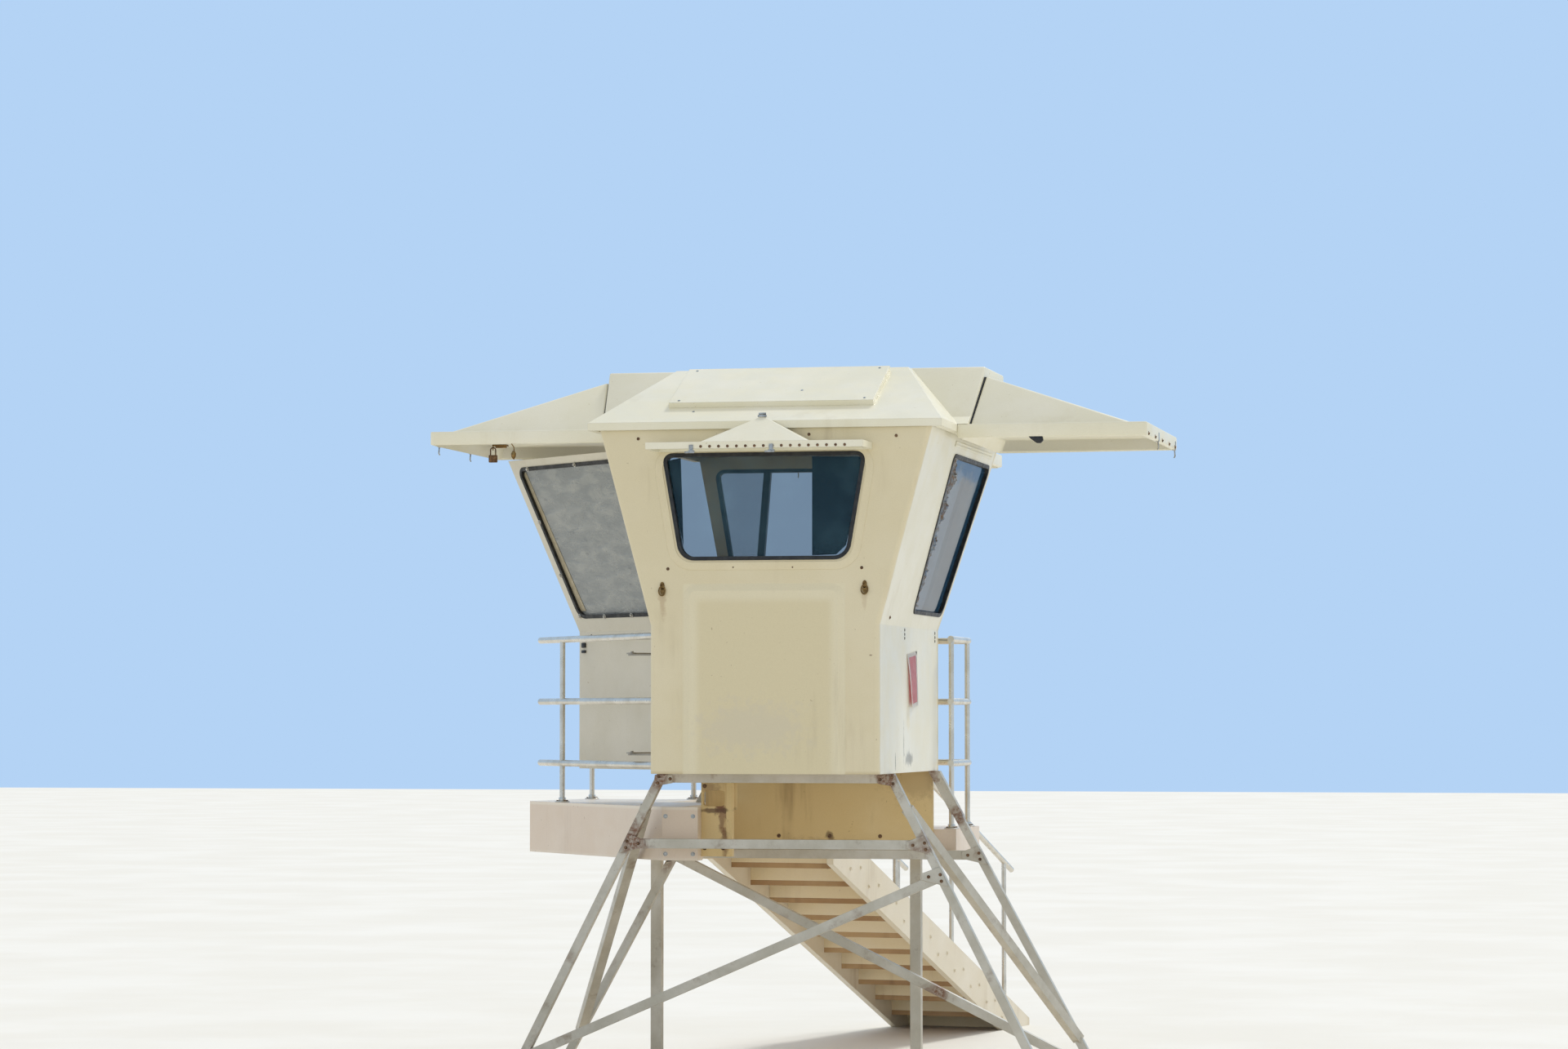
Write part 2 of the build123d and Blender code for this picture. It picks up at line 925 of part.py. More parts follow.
def make_stair_handrails(straight_stringers):
    """Sloping handrail over upright posts on each stringer."""
    first = deck_front + going / 2
    last = deck_front + (riser_count - 1.5) * going
    solids = []
    for side in (-1, 1):
        x = stair_side(side) - side * stringer_thickness / 2
        start = (x, first - going / 2, stair_line(first - going / 2) + stair_rail_height)
        end = (x, last + going / 2, stair_line(last + going / 2) + stair_rail_height)
        line = Vector(*end) - Vector(*start)
        rail = extrude(Plane(origin=start, z_dir=line) * Circle(rail_radius), amount=line.length)
        solids.extend(rail.solids())
        for index in range(stair_post_count):
            y = first + (last - first) * index / (stair_post_count - 1)
            foot = stair_line(y) - stringer_below / 2
            top = stair_line(y) + stair_rail_height
            post = Pos(x, y, foot) * Cylinder(
                post_radius, top - foot, align=(Align.CENTER, Align.CENTER, Align.MIN)
            )
            cut = post - rail
            solids.append(inner_piece(between_legs(cut, straight_stringers)))
    return Compound(children=[solid.rotate(stair_axis, -stair_turn) for solid in solids])


def hinge_strap(z, y_wall):
    """Level strap from the left wall's outer face out to the hinge line, with a round eye."""
    half = hinge_strap_width / 2
    thickness = hinge_strap_thickness
    eye = Pos(hinge_x, hinge_y, z + thickness / 2) * Cylinder(half, thickness)
    wall_x = -half_width_at(z)
    foot = block((hinge_x, wall_x + wall), (y_wall - half, y_wall + half), (z, z + thickness))
    return eye + foot - side_slab(0, 2 * wall)


def make_hinge_brackets():
    """Straps fixed behind the doorway, each carrying an upright pin."""
    solids = []
    for z in hinge_heights:
        strap = hinge_strap(z, hinge_y - hinge_strap_width / 2 - hinge_strap_setback)
        pin_length = 3 * hinge_strap_thickness
        pin = Pos(hinge_x, hinge_y, z) * Cylinder(
            hinge_pin_radius, pin_length, align=(Align.CENTER, Align.CENTER, Align.MIN)
        )
        solids.append(strap + pin)
    return Compound(children=[piece for solid in solids for piece in solid.solids()])


def make_hinge_arms():
    """Straps on the door leaf whose eyes turn on the pins, in the closed position."""
    solids = []
    for z in hinge_heights:
        level = z + hinge_strap_thickness + hinge_strap_gap
        strap = hinge_strap(level, hinge_y + hinge_strap_width / 2 + hinge_strap_setback)
        bore = Pos(hinge_x, hinge_y, level) * Cylinder(
            hinge_pin_radius + hinge_pin_clearance, 4 * hinge_strap_thickness
        )
        solids.append(strap - bore)
    return Compound(children=[piece for solid in solids for piece in solid.solids()])


def build():
    """Make every piece in place, measured from the rear wall's outer face."""
    legs = {(side, end): make_leg(side, end) for side in (-1, 1) for end in ("rear", "front")}
    rear_legs = [legs[-1, "rear"], legs[1, "rear"]]
    front_legs = [legs[-1, "front"], legs[1, "front"]]
    left_legs = [legs[-1, "rear"], legs[-1, "front"]]
    right_legs = [legs[1, "rear"], legs[1, "front"]]
    sleeves = [make_leg_sleeve(side, legs[side, "front"]) for side in (-1, 1)]
    front_beam = lower_beam("front", deck_bottom, front_legs)
    rear_beam = lower_beam("rear", rear_beam_height + tube / 2, rear_legs)
    diagonals = [make_side_diagonal(-1, left_legs), make_side_diagonal(1, right_legs)]
    rear_brace = make_cross_brace("rear", 1, rear_brace_foot, rear_brace_top, rear_legs)
    front_brace = make_cross_brace("front", -1, front_brace_foot, front_brace_top, front_legs)
    deck = make_deck([legs[-1, "front"], sleeves[0], front_beam])
    front_brace = inner_piece(between_legs(front_brace, diagonals + [front_beam, deck]))
    rails = make_rails()
    stringers = make_stair_stringers()
    right_gasket = mirror(make_side_gasket(), about=Plane.YZ)
    right_glass = mirror(make_side_glass(), about=Plane.YZ)
    return {
        "foot_plates": make_foot_plates(),
        "leg_rear_left": legs[-1, "rear"],
        "leg_rear_right": legs[1, "rear"],
        "leg_front_left": legs[-1, "front"],
        "leg_front_right": legs[1, "front"],
        "leg_sleeves": Compound(children=sleeves),
        "ring_cross_beams": make_ring_cross_beams(rear_legs),
        "ring_side_beams": make_ring_side_beams(),
        "lower_rear_beam": rear_beam,
        "lower_front_beam": front_beam,
        "side_diagonals": Compound(children=diagonals),
        "rear_brace": rear_brace,
        "front_brace": front_brace,
        "deck_posts": make_deck_posts(),
        "cab_floor": make_cab_floor(),
        "rear_wall": make_rear_wall(),
        "right_wall": make_right_wall(),
        "left_rear_wall": make_left_rear_wall(),
        "door_header": make_door_header(),
        "front_wall": make_front_wall(),
        "front_mullions": make_front_mullions(),
        "window_gaskets": Compound(
            children=[make_rear_gasket(), right_gasket, make_front_gasket()]
        ),
        "rear_glass": make_rear_glass(),
        "right_glass": right_glass,
        "front_glass": make_front_panes(),
        "roof": make_roof(),
        "roof_hatch": make_roof_hatch(),
        "shutter_left": make_side_shutter(-1),
        "shutter_right": make_side_shutter(1),
        "shutter_front": make_front_shutter(),
        "rear_hood": make_rear_hood(),
        "deck": deck,
        "landing": make_landing(),
        "under_cab_panel": make_under_cab_panel(front_legs + sleeves),
        "rails": Compound(children=[piece for rail in rails for piece in rail.solids()]),
        "rail_posts": make_rail_posts(rails),
        "stair_treads": make_stair_treads(),
        "stair_risers": make_stair_risers(),
        "stair_stringers": Compound(children=[turned_stair(board) for board in stringers]),
        "stair_handrails": make_stair_handrails(stringers),
        "hinge_brackets": make_hinge_brackets(),
        "door_leaf": opened(door_leaf_closed()),
        "door_gasket": opened(make_side_gasket()),
        "door_glass": opened(make_side_glass()),
        "hinge_arms": opened(make_hinge_arms()),
    }


pieces = build()
plan = Compound(children=[Compound(children=piece.solids()) for piece in pieces.values()]).bounding_box()
middle_y = (plan.min.Y + plan.max.Y) / 2
to_origin = Pos(0, -middle_y, 0)

os.makedirs("parts", exist_ok=True)
for name, piece in pieces.items():
    solids = piece.solids()
    placed = [to_origin * solid for solid in solids]
    export_step(Compound(children=placed) if len(placed) > 1 else placed[0], f"parts/{name}.step")

print("origin moved by Y", round(-middle_y, 3))
print("hinge line X, Y", round(hinge_x, 3), round(hinge_y - middle_y, 3))
print("size", [round(v, 1) for v in (plan.size.X, plan.size.Y, plan.size.Z)])
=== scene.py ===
import bmesh
import bpy
import json
import math
import random
from mathutils import Matrix, Vector

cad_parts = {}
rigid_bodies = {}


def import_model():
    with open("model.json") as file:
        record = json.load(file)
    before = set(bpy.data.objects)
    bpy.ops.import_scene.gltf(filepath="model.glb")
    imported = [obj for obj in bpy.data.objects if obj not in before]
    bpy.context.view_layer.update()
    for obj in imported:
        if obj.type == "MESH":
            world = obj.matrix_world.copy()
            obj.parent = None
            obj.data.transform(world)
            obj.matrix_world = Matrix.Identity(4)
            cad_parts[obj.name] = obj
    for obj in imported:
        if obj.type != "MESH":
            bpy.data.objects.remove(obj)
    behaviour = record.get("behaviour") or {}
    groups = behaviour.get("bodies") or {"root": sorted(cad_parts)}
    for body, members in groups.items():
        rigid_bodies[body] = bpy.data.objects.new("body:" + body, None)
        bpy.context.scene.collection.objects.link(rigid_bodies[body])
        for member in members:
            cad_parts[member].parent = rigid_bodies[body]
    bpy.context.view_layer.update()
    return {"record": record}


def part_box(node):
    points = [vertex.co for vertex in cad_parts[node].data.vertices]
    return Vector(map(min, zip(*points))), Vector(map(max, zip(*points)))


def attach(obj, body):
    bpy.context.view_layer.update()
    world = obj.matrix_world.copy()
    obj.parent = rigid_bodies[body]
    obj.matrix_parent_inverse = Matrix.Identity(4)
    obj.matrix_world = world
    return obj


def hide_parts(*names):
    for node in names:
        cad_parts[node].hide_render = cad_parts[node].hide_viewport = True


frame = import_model()

# Beach lifeguard tower, seen from its rear wall. Metres, Z up. Distances called "ahead" are
# measured along +Y from the rear wall's outer face, as they are on the cab itself.

wall = 0.038
rear_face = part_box("left_rear_wall")[0].y - wall
cab_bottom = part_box("rear_wall")[0].z
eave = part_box("rear_wall")[1].z
knee = 2.478
half_cab = 0.610
half_eave = 0.897
side_lean = (half_eave - half_cab) / (eave - knee)
hinge_line = (-half_eave, 0.750)
door_angle = math.radians(47)
deck_top = 1.520
landing_top = 1.375
stair_turn = math.radians(10.4)
stair_top = (-0.520, 2.450, landing_top)
shutter_gap = 0.048
front_eave = 2.125
side_reach = 1.005
front_reach = 0.950
side_lip = half_eave + shutter_gap + side_reach
front_lip = front_eave + shutter_gap + front_reach
trunk_face = 0.465
panel_face = 1.640
low_lip = eave - 0.072
pocket = eave - 0.014
to_rear = (0, -1, 0)
to_sky = (0, 0, 1)


def at(x, ahead, z):
    """Point in the frame from a distance ahead of the rear wall."""
    return Vector((x, rear_face + ahead, z))


def half_width(z):
    """Half the cab's outer width at a height."""
    return half_cab + side_lean * max(z - knee, 0.0)


def on_right_wall(ahead, z, proud=0.0):
    return at(half_width(z) + proud, ahead, z)


def on_door(ahead, z, proud=0.0):
    """Point on the open door, given where it lies on the left wall when the door is shut."""
    x = -half_width(z) - proud - hinge_line[0]
    y = ahead - hinge_line[1]
    turn_x = x * math.cos(door_angle) - y * math.sin(door_angle)
    turn_y = x * math.sin(door_angle) + y * math.cos(door_angle)
    return at(hinge_line[0] + turn_x, hinge_line[1] + turn_y, z)


def on_stair(across, along, z):
    """Point by the stair's own axes, which swing away from the deck's square."""
    x = stair_top[0] + across * math.cos(stair_turn) + along * math.sin(stair_turn)
    y = stair_top[1] - across * math.sin(stair_turn) + along * math.cos(stair_turn)
    return at(x, y, z)


# Finishes


def linear(colour):
    """Linear colour from the usual 0 to 255 values, in which every finish is given."""
    parts = [c / 255 for c in colour]
    return [c / 12.92 if c <= 0.04045 else ((c + 0.055) / 1.055) ** 2.4 for c in parts]


class Nodes:
    """A node tree under way, wired by short calls."""

    def __init__(self, tree):
        self.tree = tree

    def feed(self, socket, value):
        """Link an input to an output, or set it to a value."""
        if isinstance(value, bpy.types.NodeSocket):
            self.tree.links.new(value, socket)
        elif socket.type == "RGBA":
            socket.default_value = (*linear(value), 1.0)
        else:
            socket.default_value = value

    def node(self, kind, feeds=None, **settings):
        """New node with its settings, and its inputs fed by name or number."""
        made = self.tree.nodes.new(kind)
        for key, value in settings.items():
            setattr(made, key, value)
        for key, value in (feeds or {}).items():
            self.feed(made.inputs[key], value)
        return made

    def math(self, operation, a, b):
        return self.node("ShaderNodeMath", {0: a, 1: b}, operation=operation).outputs[0]


class Finish(Nodes):
    """A procedural material that is laid out by object coordinates."""

    def __init__(self, name, metallic=0.0):
        self.material = bpy.data.materials.new(name)
        self.material.use_nodes = True
        super().__init__(self.material.node_tree)
        self.shader = self.tree.nodes["Principled BSDF"]
        self.shader.inputs["Metallic"].default_value = metallic
        self.place = self.node("ShaderNodeTexCoord").outputs["Object"]
        self.letters = None

    def noise(self, scale, detail=4, rough=0.55, stretch=(1, 1, 1), shift=(0, 0, 0), warp=0.0):
        mapped = self.node("ShaderNodeMapping", {"Scale": stretch, "Location": shift, "Vector": self.place})
        return self.node("ShaderNodeTexNoise", {
            "Scale": scale, "Detail": detail, "Roughness": rough, "Distortion": warp,
            "Vector": mapped.outputs["Vector"]}).outputs["Fac"]

    def ramp(self, source, low, high, start=0.0, end=1.0):
        """Carry a value between two levels onto start to end, clamped."""
        return self.node("ShaderNodeMapRange", {
            "From Min": low, "From Max": high, "To Min": start, "To Max": end, "Value": source},
            interpolation_type="SMOOTHSTEP").outputs["Result"]

    def times(self, *values):
        total = values[0]
        for value in values[1:]:
            total = self.math("MULTIPLY", total, value)
        return total

    def axis(self, letter):
        if self.letters is None:
            self.letters = self.node("ShaderNodeSeparateXYZ", {"Vector": self.place})
        return self.letters.outputs[letter]

    def band(self, letter, low, high, soft=0.02):
        """One inside a stretch of one axis, nothing outside it."""
        rise = self.ramp(self.axis(letter), low - soft, low + soft)
        fall = self.ramp(self.axis(letter), high - soft, high + soft, 1.0, 0.0)
        return self.times(rise, fall)

    def blot(self, centre, radius, squash=(1, 1, 1), ragged=0.35, scale=24):
        """A stain round one point, with a ragged edge."""
        away = self.node("ShaderNodeVectorMath", {0: self.place, 1: centre}, operation="SUBTRACT")
        flat = self.node("ShaderNodeVectorMath", {0: away.outputs[0], 1: squash}, operation="MULTIPLY")
        far = self.node("ShaderNodeVectorMath", {0: flat.outputs[0]}, operation="LENGTH")
        wave = self.ramp(self.noise(scale, 4, 0.65), 0.3, 0.7, 1.0 - ragged, 1.0 + ragged)
        edge = self.times(far.outputs["Value"], wave)
        return self.ramp(edge, radius * 0.35, radius, 1.0, 0.0)

    def mix(self, fac, a, b):
        return self.node("ShaderNodeMix", {0: fac, 6: a, 7: b}, data_type="RGBA").outputs[2]

    def colour(self, source):
        self.feed(self.shader.inputs["Base Color"], source)

    def roughness(self, source):
        self.feed(self.shader.inputs["Roughness"], source)

    def bump(self, height, strength, distance=0.001, edge=0.0):
        """Relief in the finish, over edges rounded by a radius that thin sheets have to leave out."""
        made = self.node("ShaderNodeBump", {"Strength": strength, "Distance": distance, "Height": height})
        if edge:
            soft = self.node("ShaderNodeBevel", {"Radius": edge}, samples=4)
            self.feed(made.inputs["Normal"], soft.outputs["Normal"])
        self.feed(self.shader.inputs["Normal"], made.outputs["Normal"])


def gelcoat(name, base, pale, dirt, rough=0.36, streaks=0.3, marks=(), bands=(), lit_borders=()):
    """Weathered fibreglass: slow mottling, fine speckle, run-down streaks and small spots."""
    f = Finish(name)
    cloud = f.ramp(f.noise(1.6, 5, 0.6), 0.38, 0.66)
    colour = f.mix(cloud, base, pale)
    for letter, low, high, soft, amount, tint in bands:
        colour = f.mix(f.times(f.band(letter, low, high, soft), amount), colour, tint)
    # Painted highlight: a raised panel's sloping border is paled as if lit from above, and the face inside
    # it takes its own tint
    for outer, inner, amount, tint, face in lit_borders:
        border_highlight_mask = f.times(f.band("X", *outer[:2], 0.006), f.band("Z", *outer[2:], 0.006))
        inside = f.times(f.band("X", *inner[:2], 0.026), f.band("Z", *inner[2:], 0.026))
        colour = f.mix(f.times(border_highlight_mask, amount), colour, tint)
        colour = f.mix(f.times(inside, 0.95), colour, face)
    runs = f.ramp(f.noise(7, 6, 0.62, stretch=(1.0, 1.0, 0.09)), 0.52, 0.74)
    patch = f.ramp(f.noise(2.1, 3, 0.5, shift=(4.2, 1.3, 0.4)), 0.44, 0.62)
    colour = f.mix(f.times(runs, patch, streaks), colour, dirt)
    spots = f.ramp(f.noise(46, 2, 0.5, shift=(1.7, 0, 3.1)), 0.73, 0.79)
    colour = f.mix(f.times(spots, 0.55), colour, dirt)
    grime = f.ramp(f.noise(150, 3, 0.7), 0.35, 0.8)
    colour = f.mix(f.times(grime, 0.08), colour, dirt)
    for centre, radius, squash, amount, tint in marks:
        colour = f.mix(f.times(f.blot(centre, radius, squash), amount), colour, tint)
    f.colour(colour)
    f.roughness(f.ramp(f.noise(9, 4, 0.6), 0.3, 0.75, rough - 0.05, rough + 0.17))
    ripple = f.noise(3.2, 3, 0.5)
    peel = f.math("ADD", f.math("MULTIPLY", f.noise(260, 2, 0.5), 0.12), ripple)
    f.bump(peel, 0.22, 0.002, edge=0.004)
    return f.material


def weathered_metal(name, base, pale, dirt, rough=0.42, metallic=0.5, rust=(), stains=0.5):
    """Mill-finish aluminium dulled by salt, with drawn lines, pits and rust at its joints."""
    f = Finish(name, metallic)
    cloud = f.ramp(f.noise(3.5, 5, 0.65), 0.35, 0.7)
    colour = f.mix(cloud, base, pale)
    stain = f.ramp(f.noise(5.5, 6, 0.7, shift=(2.0, 5.0, 1.0)), 0.56, 0.72)
    colour = f.mix(f.times(stain, stains), colour, dirt)
    pits = f.ramp(f.noise(90, 3, 0.6), 0.66, 0.75)
    colour = f.mix(f.times(pits, 0.5), colour, dirt)
    for centre, radius in rust:
        heart = f.blot(centre, radius, (1, 1, 0.8), ragged=0.5, scale=30)
        flecks = f.ramp(f.noise(60, 4, 0.7), 0.35, 0.62, 0.35, 1.0)
        colour = f.mix(f.times(heart, flecks, 0.9), colour, (118, 70, 38))
    f.colour(colour)
    f.roughness(f.ramp(f.noise(16, 5, 0.7), 0.3, 0.75, rough - 0.08, rough + 0.2))
    f.bump(f.noise(120, 3, 0.6, stretch=(1, 1, 0.15)), 0.2, 0.0006, edge=0.003)
    return f.material


def plain_finish(name, dark, light, scale=24, rough=(0.4, 0.65), metallic=0.0, grain=0.2, edge=0.0015):
    """Small fittings: two close shades, a little wear and a fine grain."""
    f = Finish(name, metallic)
    f.colour(f.mix(f.ramp(f.noise(scale, 5, 0.65), 0.33, 0.75), dark, light))
    f.roughness(f.ramp(f.noise(scale * 0.8, 4, 0.6), 0.3, 0.7, *rough))
    f.bump(f.noise(scale * 9, 2), grain, 0.0004, edge=edge)
    return f.material


def tinted_pane(name, dark, light, alpha):
    """Tinted glass with a thin salt haze."""
    f = Finish(name)
    haze = f.ramp(f.noise(2.5, 5, 0.65), 0.4, 0.75)
    f.colour(f.mix(haze, dark, light))
    f.roughness(f.ramp(f.noise(6, 4, 0.7), 0.45, 0.8, 0.03, 0.16))
    f.shader.inputs["Alpha"].default_value = alpha
    f.shader.inputs["Specular IOR Level"].default_value = 0.3
    f.bump(f.noise(1.5, 2), 0.05, 0.001)
    return f.material


def wrinkled_film():
    """Reflective grey film, stuck on with creases that run down and across."""
    f = Finish("grey window film", 0.2)
    crease = f.ramp(f.noise(7, 6, 0.66, stretch=(0.8, 0.8, 2.2), warp=0.5), 0.32, 0.7)
    dent_shade = f.ramp(f.noise(13, 3, 0.6, stretch=(0.8, 0.8, 2.6), shift=(3, 1, 2)), 0.64, 0.7)
    # Painted light and shade: the grey runs lighter and darker with the crease relief, and darker in the
    # dents
    crease_light_and_shade = f.mix(crease, (136, 140, 140), (162, 164, 160))
    crease_light_and_shade = f.mix(f.times(dent_shade, 0.4), crease_light_and_shade, (96, 101, 104))
    f.colour(crease_light_and_shade)
    f.roughness(f.ramp(f.noise(14, 4, 0.7), 0.3, 0.8, 0.24, 0.45))
    f.bump(crease, 0.5, 0.004)
    return f.material


def crumpled_foil():
    f = Finish("crumpled foil", 0.75)
    tear = f.ramp(f.noise(16, 5, 0.7, warp=1.2), 0.42, 0.58)
    f.colour(f.mix(tear, (176, 186, 194), (150, 118, 86)))
    f.roughness(f.ramp(f.noise(30, 4, 0.7), 0.3, 0.7, 0.22, 0.5))
    f.bump(f.noise(55, 4, 0.7, warp=1.0), 0.8, 0.004)
    return f.material


def satin_tube():
    """Bright rail tube, mottled between two greys, with specks of salt."""
    f = Finish("satin rail tube", 0.7)
    cloud = f.ramp(f.noise(6, 5, 0.6), 0.35, 0.75)
    colour = f.mix(cloud, (222, 218, 208), (196, 190, 176))
    salt = f.ramp(f.noise(40, 4, 0.7), 0.6, 0.72)
    colour = f.mix(f.times(salt, 0.28), colour, (140, 126, 106))
    f.colour(colour)
    f.roughness(f.ramp(f.noise(24, 4, 0.6), 0.3, 0.75, 0.26, 0.44))
    f.bump(f.noise(160, 2), 0.1, 0.0004)
    return f.material


brown = (120, 84, 50)
rust_brown = (112, 62, 32)

# Stains: centre, radius, squash along each axis, strength and tint
rear_marks = (
    (at(-0.06, 0, 1.940), 0.34, (0.9, 0.1, 2.0), 0.30, (203, 196, 184)),
    (at(0.567, 0, 2.317), 0.012, (1, 0.1, 2), 0.7, brown),
    (at(-0.544, 0, 2.600), 0.05, (2.2, 0.1, 0.55), 0.35, (160, 122, 78)),
    (at(0.536, 0, 2.600), 0.04, (2.2, 0.1, 0.6), 0.2, (160, 122, 78)),
)
right_marks = (
    (at(half_cab, 0.462, 1.764), 0.035, (0.1, 2.2, 0.7), 0.75, (112, 106, 92)),
    (at(half_cab, 0.700, 1.850), 0.075, (0.1, 5.0, 0.6), 0.5, (120, 114, 100)),
    (at(half_cab, 0.850, 1.775), 0.11, (0.1, 0.9, 2.4), 0.65, (108, 104, 92)),
    (at(half_cab, 0.830, 1.990), 0.10, (0.1, 1.4, 1.1), 0.25, (226, 204, 140)),
)
trunk_marks = (
    (at(-0.345, trunk_face, 1.530), 0.05, (1.4, 0.3, 0.8), 0.9, rust_brown),
    (at(-0.330, trunk_face, 1.450), 0.06, (2.4, 0.3, 0.6), 0.65, rust_brown),
    (at(-0.315, trunk_face, 1.330), 0.06, (2.2, 0.3, 0.5), 0.6, rust_brown),
    (at(-0.375, trunk_face, 1.500), 0.09, (0.7, 0.3, 5.0), 0.8, (96, 66, 38)),
    (at(-0.400, trunk_face, 1.620), 0.06, (1.0, 0.3, 1.4), 0.45, rust_brown),
    (at(0.500, panel_face, 1.640), 0.16, (0.8, 0.3, 1.2), 0.35, (148, 120, 80)),
    (at(-0.100, panel_face, 1.280), 0.14, (0.5, 0.3, 2.6), 0.35, (142, 112, 70)),
    (at(0.014, panel_face, 1.334), 0.03, (1, 0.3, 1), 0.7, (90, 60, 36)),
)
# Rust at the frame's joints: x, ahead, z and radius
joint_rust = [(at(*spot), radius) for *spot, radius in (
    (-0.764, 0.270, 1.360, 0.11), (-0.618, 0.270, 1.672, 0.075), (0.600, 0.270, 1.668, 0.085),
    (0.574, 1.590, 1.690, 0.09), (0.742, 1.590, 1.456, 0.075), (0.632, 1.590, 0.472, 0.09),
    (0.790, 0.295, 1.322, 0.07), (-0.900, 1.600, 1.235, 0.08),
)]

cream = (224, 213, 180)
pale_cream = (232, 223, 194)
cream_dirt = (160, 140, 102)

# Tinted bands: axis, low, high, softness, strength and tint
foot_band = ("Z", cab_bottom - 0.05, cab_bottom + 0.012, 0.01, 0.5, (196, 176, 130))
# Painted highlight: pale bands along the deck fascia's rounded top and bottom edges, where they catch the
# light
deck_edge_highlights = (("Z", deck_top - 0.016, deck_top + 0.02, 0.006, 0.6, (240, 232, 216)),
              ("Z", 1.22, 1.247, 0.006, 0.4, (238, 228, 210)))
finishes = {
    "shell": gelcoat("cream wall gelcoat", cream, pale_cream, cream_dirt, bands=(foot_band,)),
    "roof_shell": gelcoat("pale roof gelcoat", (238, 233, 208), (243, 239, 219), (196, 180, 142),
                          streaks=0.16),
    "deck_shell": gelcoat("beige deck gelcoat", (226, 209, 189), (232, 218, 200), (160, 130, 98),
                          streaks=0.2, bands=deck_edge_highlights),
    "panel": gelcoat("tan panel gelcoat", (222, 196, 140), (228, 205, 154), (140, 108, 70), 0.5, 0.55,
                     marks=trunk_marks),
    "aluminium": weathered_metal("weathered frame tube", (190, 182, 164), (208, 201, 186), (128, 98, 70),
                                 rust=joint_rust),
    "rail_tube": satin_tube(),
    "window_rubber": plain_finish("black gasket rubber", (20, 20, 21), (50, 49, 46), 30),
    "mullion": plain_finish("dark window frame paint", (30, 33, 34), (62, 64, 62), 18, (0.3, 0.5)),
    "tinted_glass": tinted_pane("dark tinted glass", (30, 60, 74), (64, 98, 112), 0.42),
    "film_glass": wrinkled_film(),
    "hinge_steel": weathered_metal("hinge steel", (160, 153, 140), (184, 177, 164), (120, 74, 46)),
}

# Painted highlight on the sloping border of the raised panel under the rear window, where it catches the
# light from above: outer and inner limits in x and z, strength, its tint and the face's
panel_border_highlight = ((-0.432, 0.432, 1.60, knee + 0.214), (-0.352, 0.360, 1.55, knee + 0.128), 0.75,
                   (232, 223, 192), (223, 211, 174))
rear_wall_gelcoat = gelcoat(
    "cream rear wall gelcoat", (226, 214, 179), (230, 219, 187), cream_dirt, marks=rear_marks,
    bands=(foot_band,), lit_borders=(panel_border_highlight,))
# The side wall takes a paler copy of the wall gelcoat: painted light, as the sun falls on this side and
# leaves the rear wall in shade
right_wall_lit_gelcoat = gelcoat("pale side wall gelcoat", (236, 232, 213), (241, 238, 222),
                             (188, 172, 134), streaks=0.2, marks=right_marks)
stringer_gelcoat = gelcoat("stringer gelcoat", (233, 222, 198), (239, 231, 212), (170, 144, 108))
node_finishes = {
    "rear_wall": rear_wall_gelcoat,
    "right_wall": right_wall_lit_gelcoat,
    "door_leaf": gelcoat("door gelcoat", (214, 209, 192), (222, 217, 202), cream_dirt, streaks=0.25),
    # The riser boards' cream is raised almost to white: partly their own colour, partly painted light from
    # the sand's bounce under them
    "stair_risers": gelcoat("stair board gelcoat", (246, 230, 190), (249, 236, 204), (190, 160, 116),
                            streaks=0.25),
    "stair_treads": gelcoat("tread gelcoat", (176, 140, 98), (200, 168, 124), (104, 74, 48), 0.55, 0.5),
    "stair_stringers": stringer_gelcoat,
    "right_glass": tinted_pane("side window glass", (26, 66, 98), (48, 88, 116), 0.72),
    "front_glass": tinted_pane("front window glass", (24, 52, 66), (56, 86, 100), 0.24),
}
# Near-black tinted sheet: painted shade of the cab's interior behind the rear window
interior_shade_sheet = tinted_pane("dark window film", (4, 12, 16), (12, 26, 32), 0.90)
foil = crumpled_foil()
steel = plain_finish("stainless fittings", (150, 147, 140), (206, 203, 196), 40, (0.25, 0.45), 0.8)
rusty_steel = plain_finish("rusty fittings", (84, 60, 42), (156, 122, 90), 70, (0.6, 0.85), 0.3, 0.6)
brass = plain_finish("tarnished brass", (110, 82, 44), (166, 132, 76), 60, (0.35, 0.6), 0.7, 0.4)
black_plastic = plain_finish("black plastic", (22, 22, 24), (52, 51, 50), 40, (0.35, 0.6))
# Near-black for painted shade: inside holes and behind the perforated strips
hole_shade = plain_finish("dark hole", (24, 20, 16), (58, 44, 32), 60, (0.7, 0.9))
card = {"rough": (0.4, 0.6), "grain": 0.08, "edge": 0}
card_white = plain_finish("white card", (238, 236, 233), (246, 245, 243), 30, **card)
card_pink = plain_finish("faded pink card", (232, 158, 166), (240, 184, 188), 26, **card)
grit = plain_finish("grit strip", (92, 84, 72), (134, 124, 108), 120, (0.8, 0.95), 0.0, 0.8)
tan_strip = plain_finish("tan jamb strip", (168, 156, 128), (192, 182, 156), 30, (0.4, 0.6))

for row in frame["record"]["subparts"]:
    finish = node_finishes.get(row["node"], finishes[row["material_slot"]])
    for slot in bpy.data.objects[row["node"]].material_slots:
        slot.material = finish


# Shapes


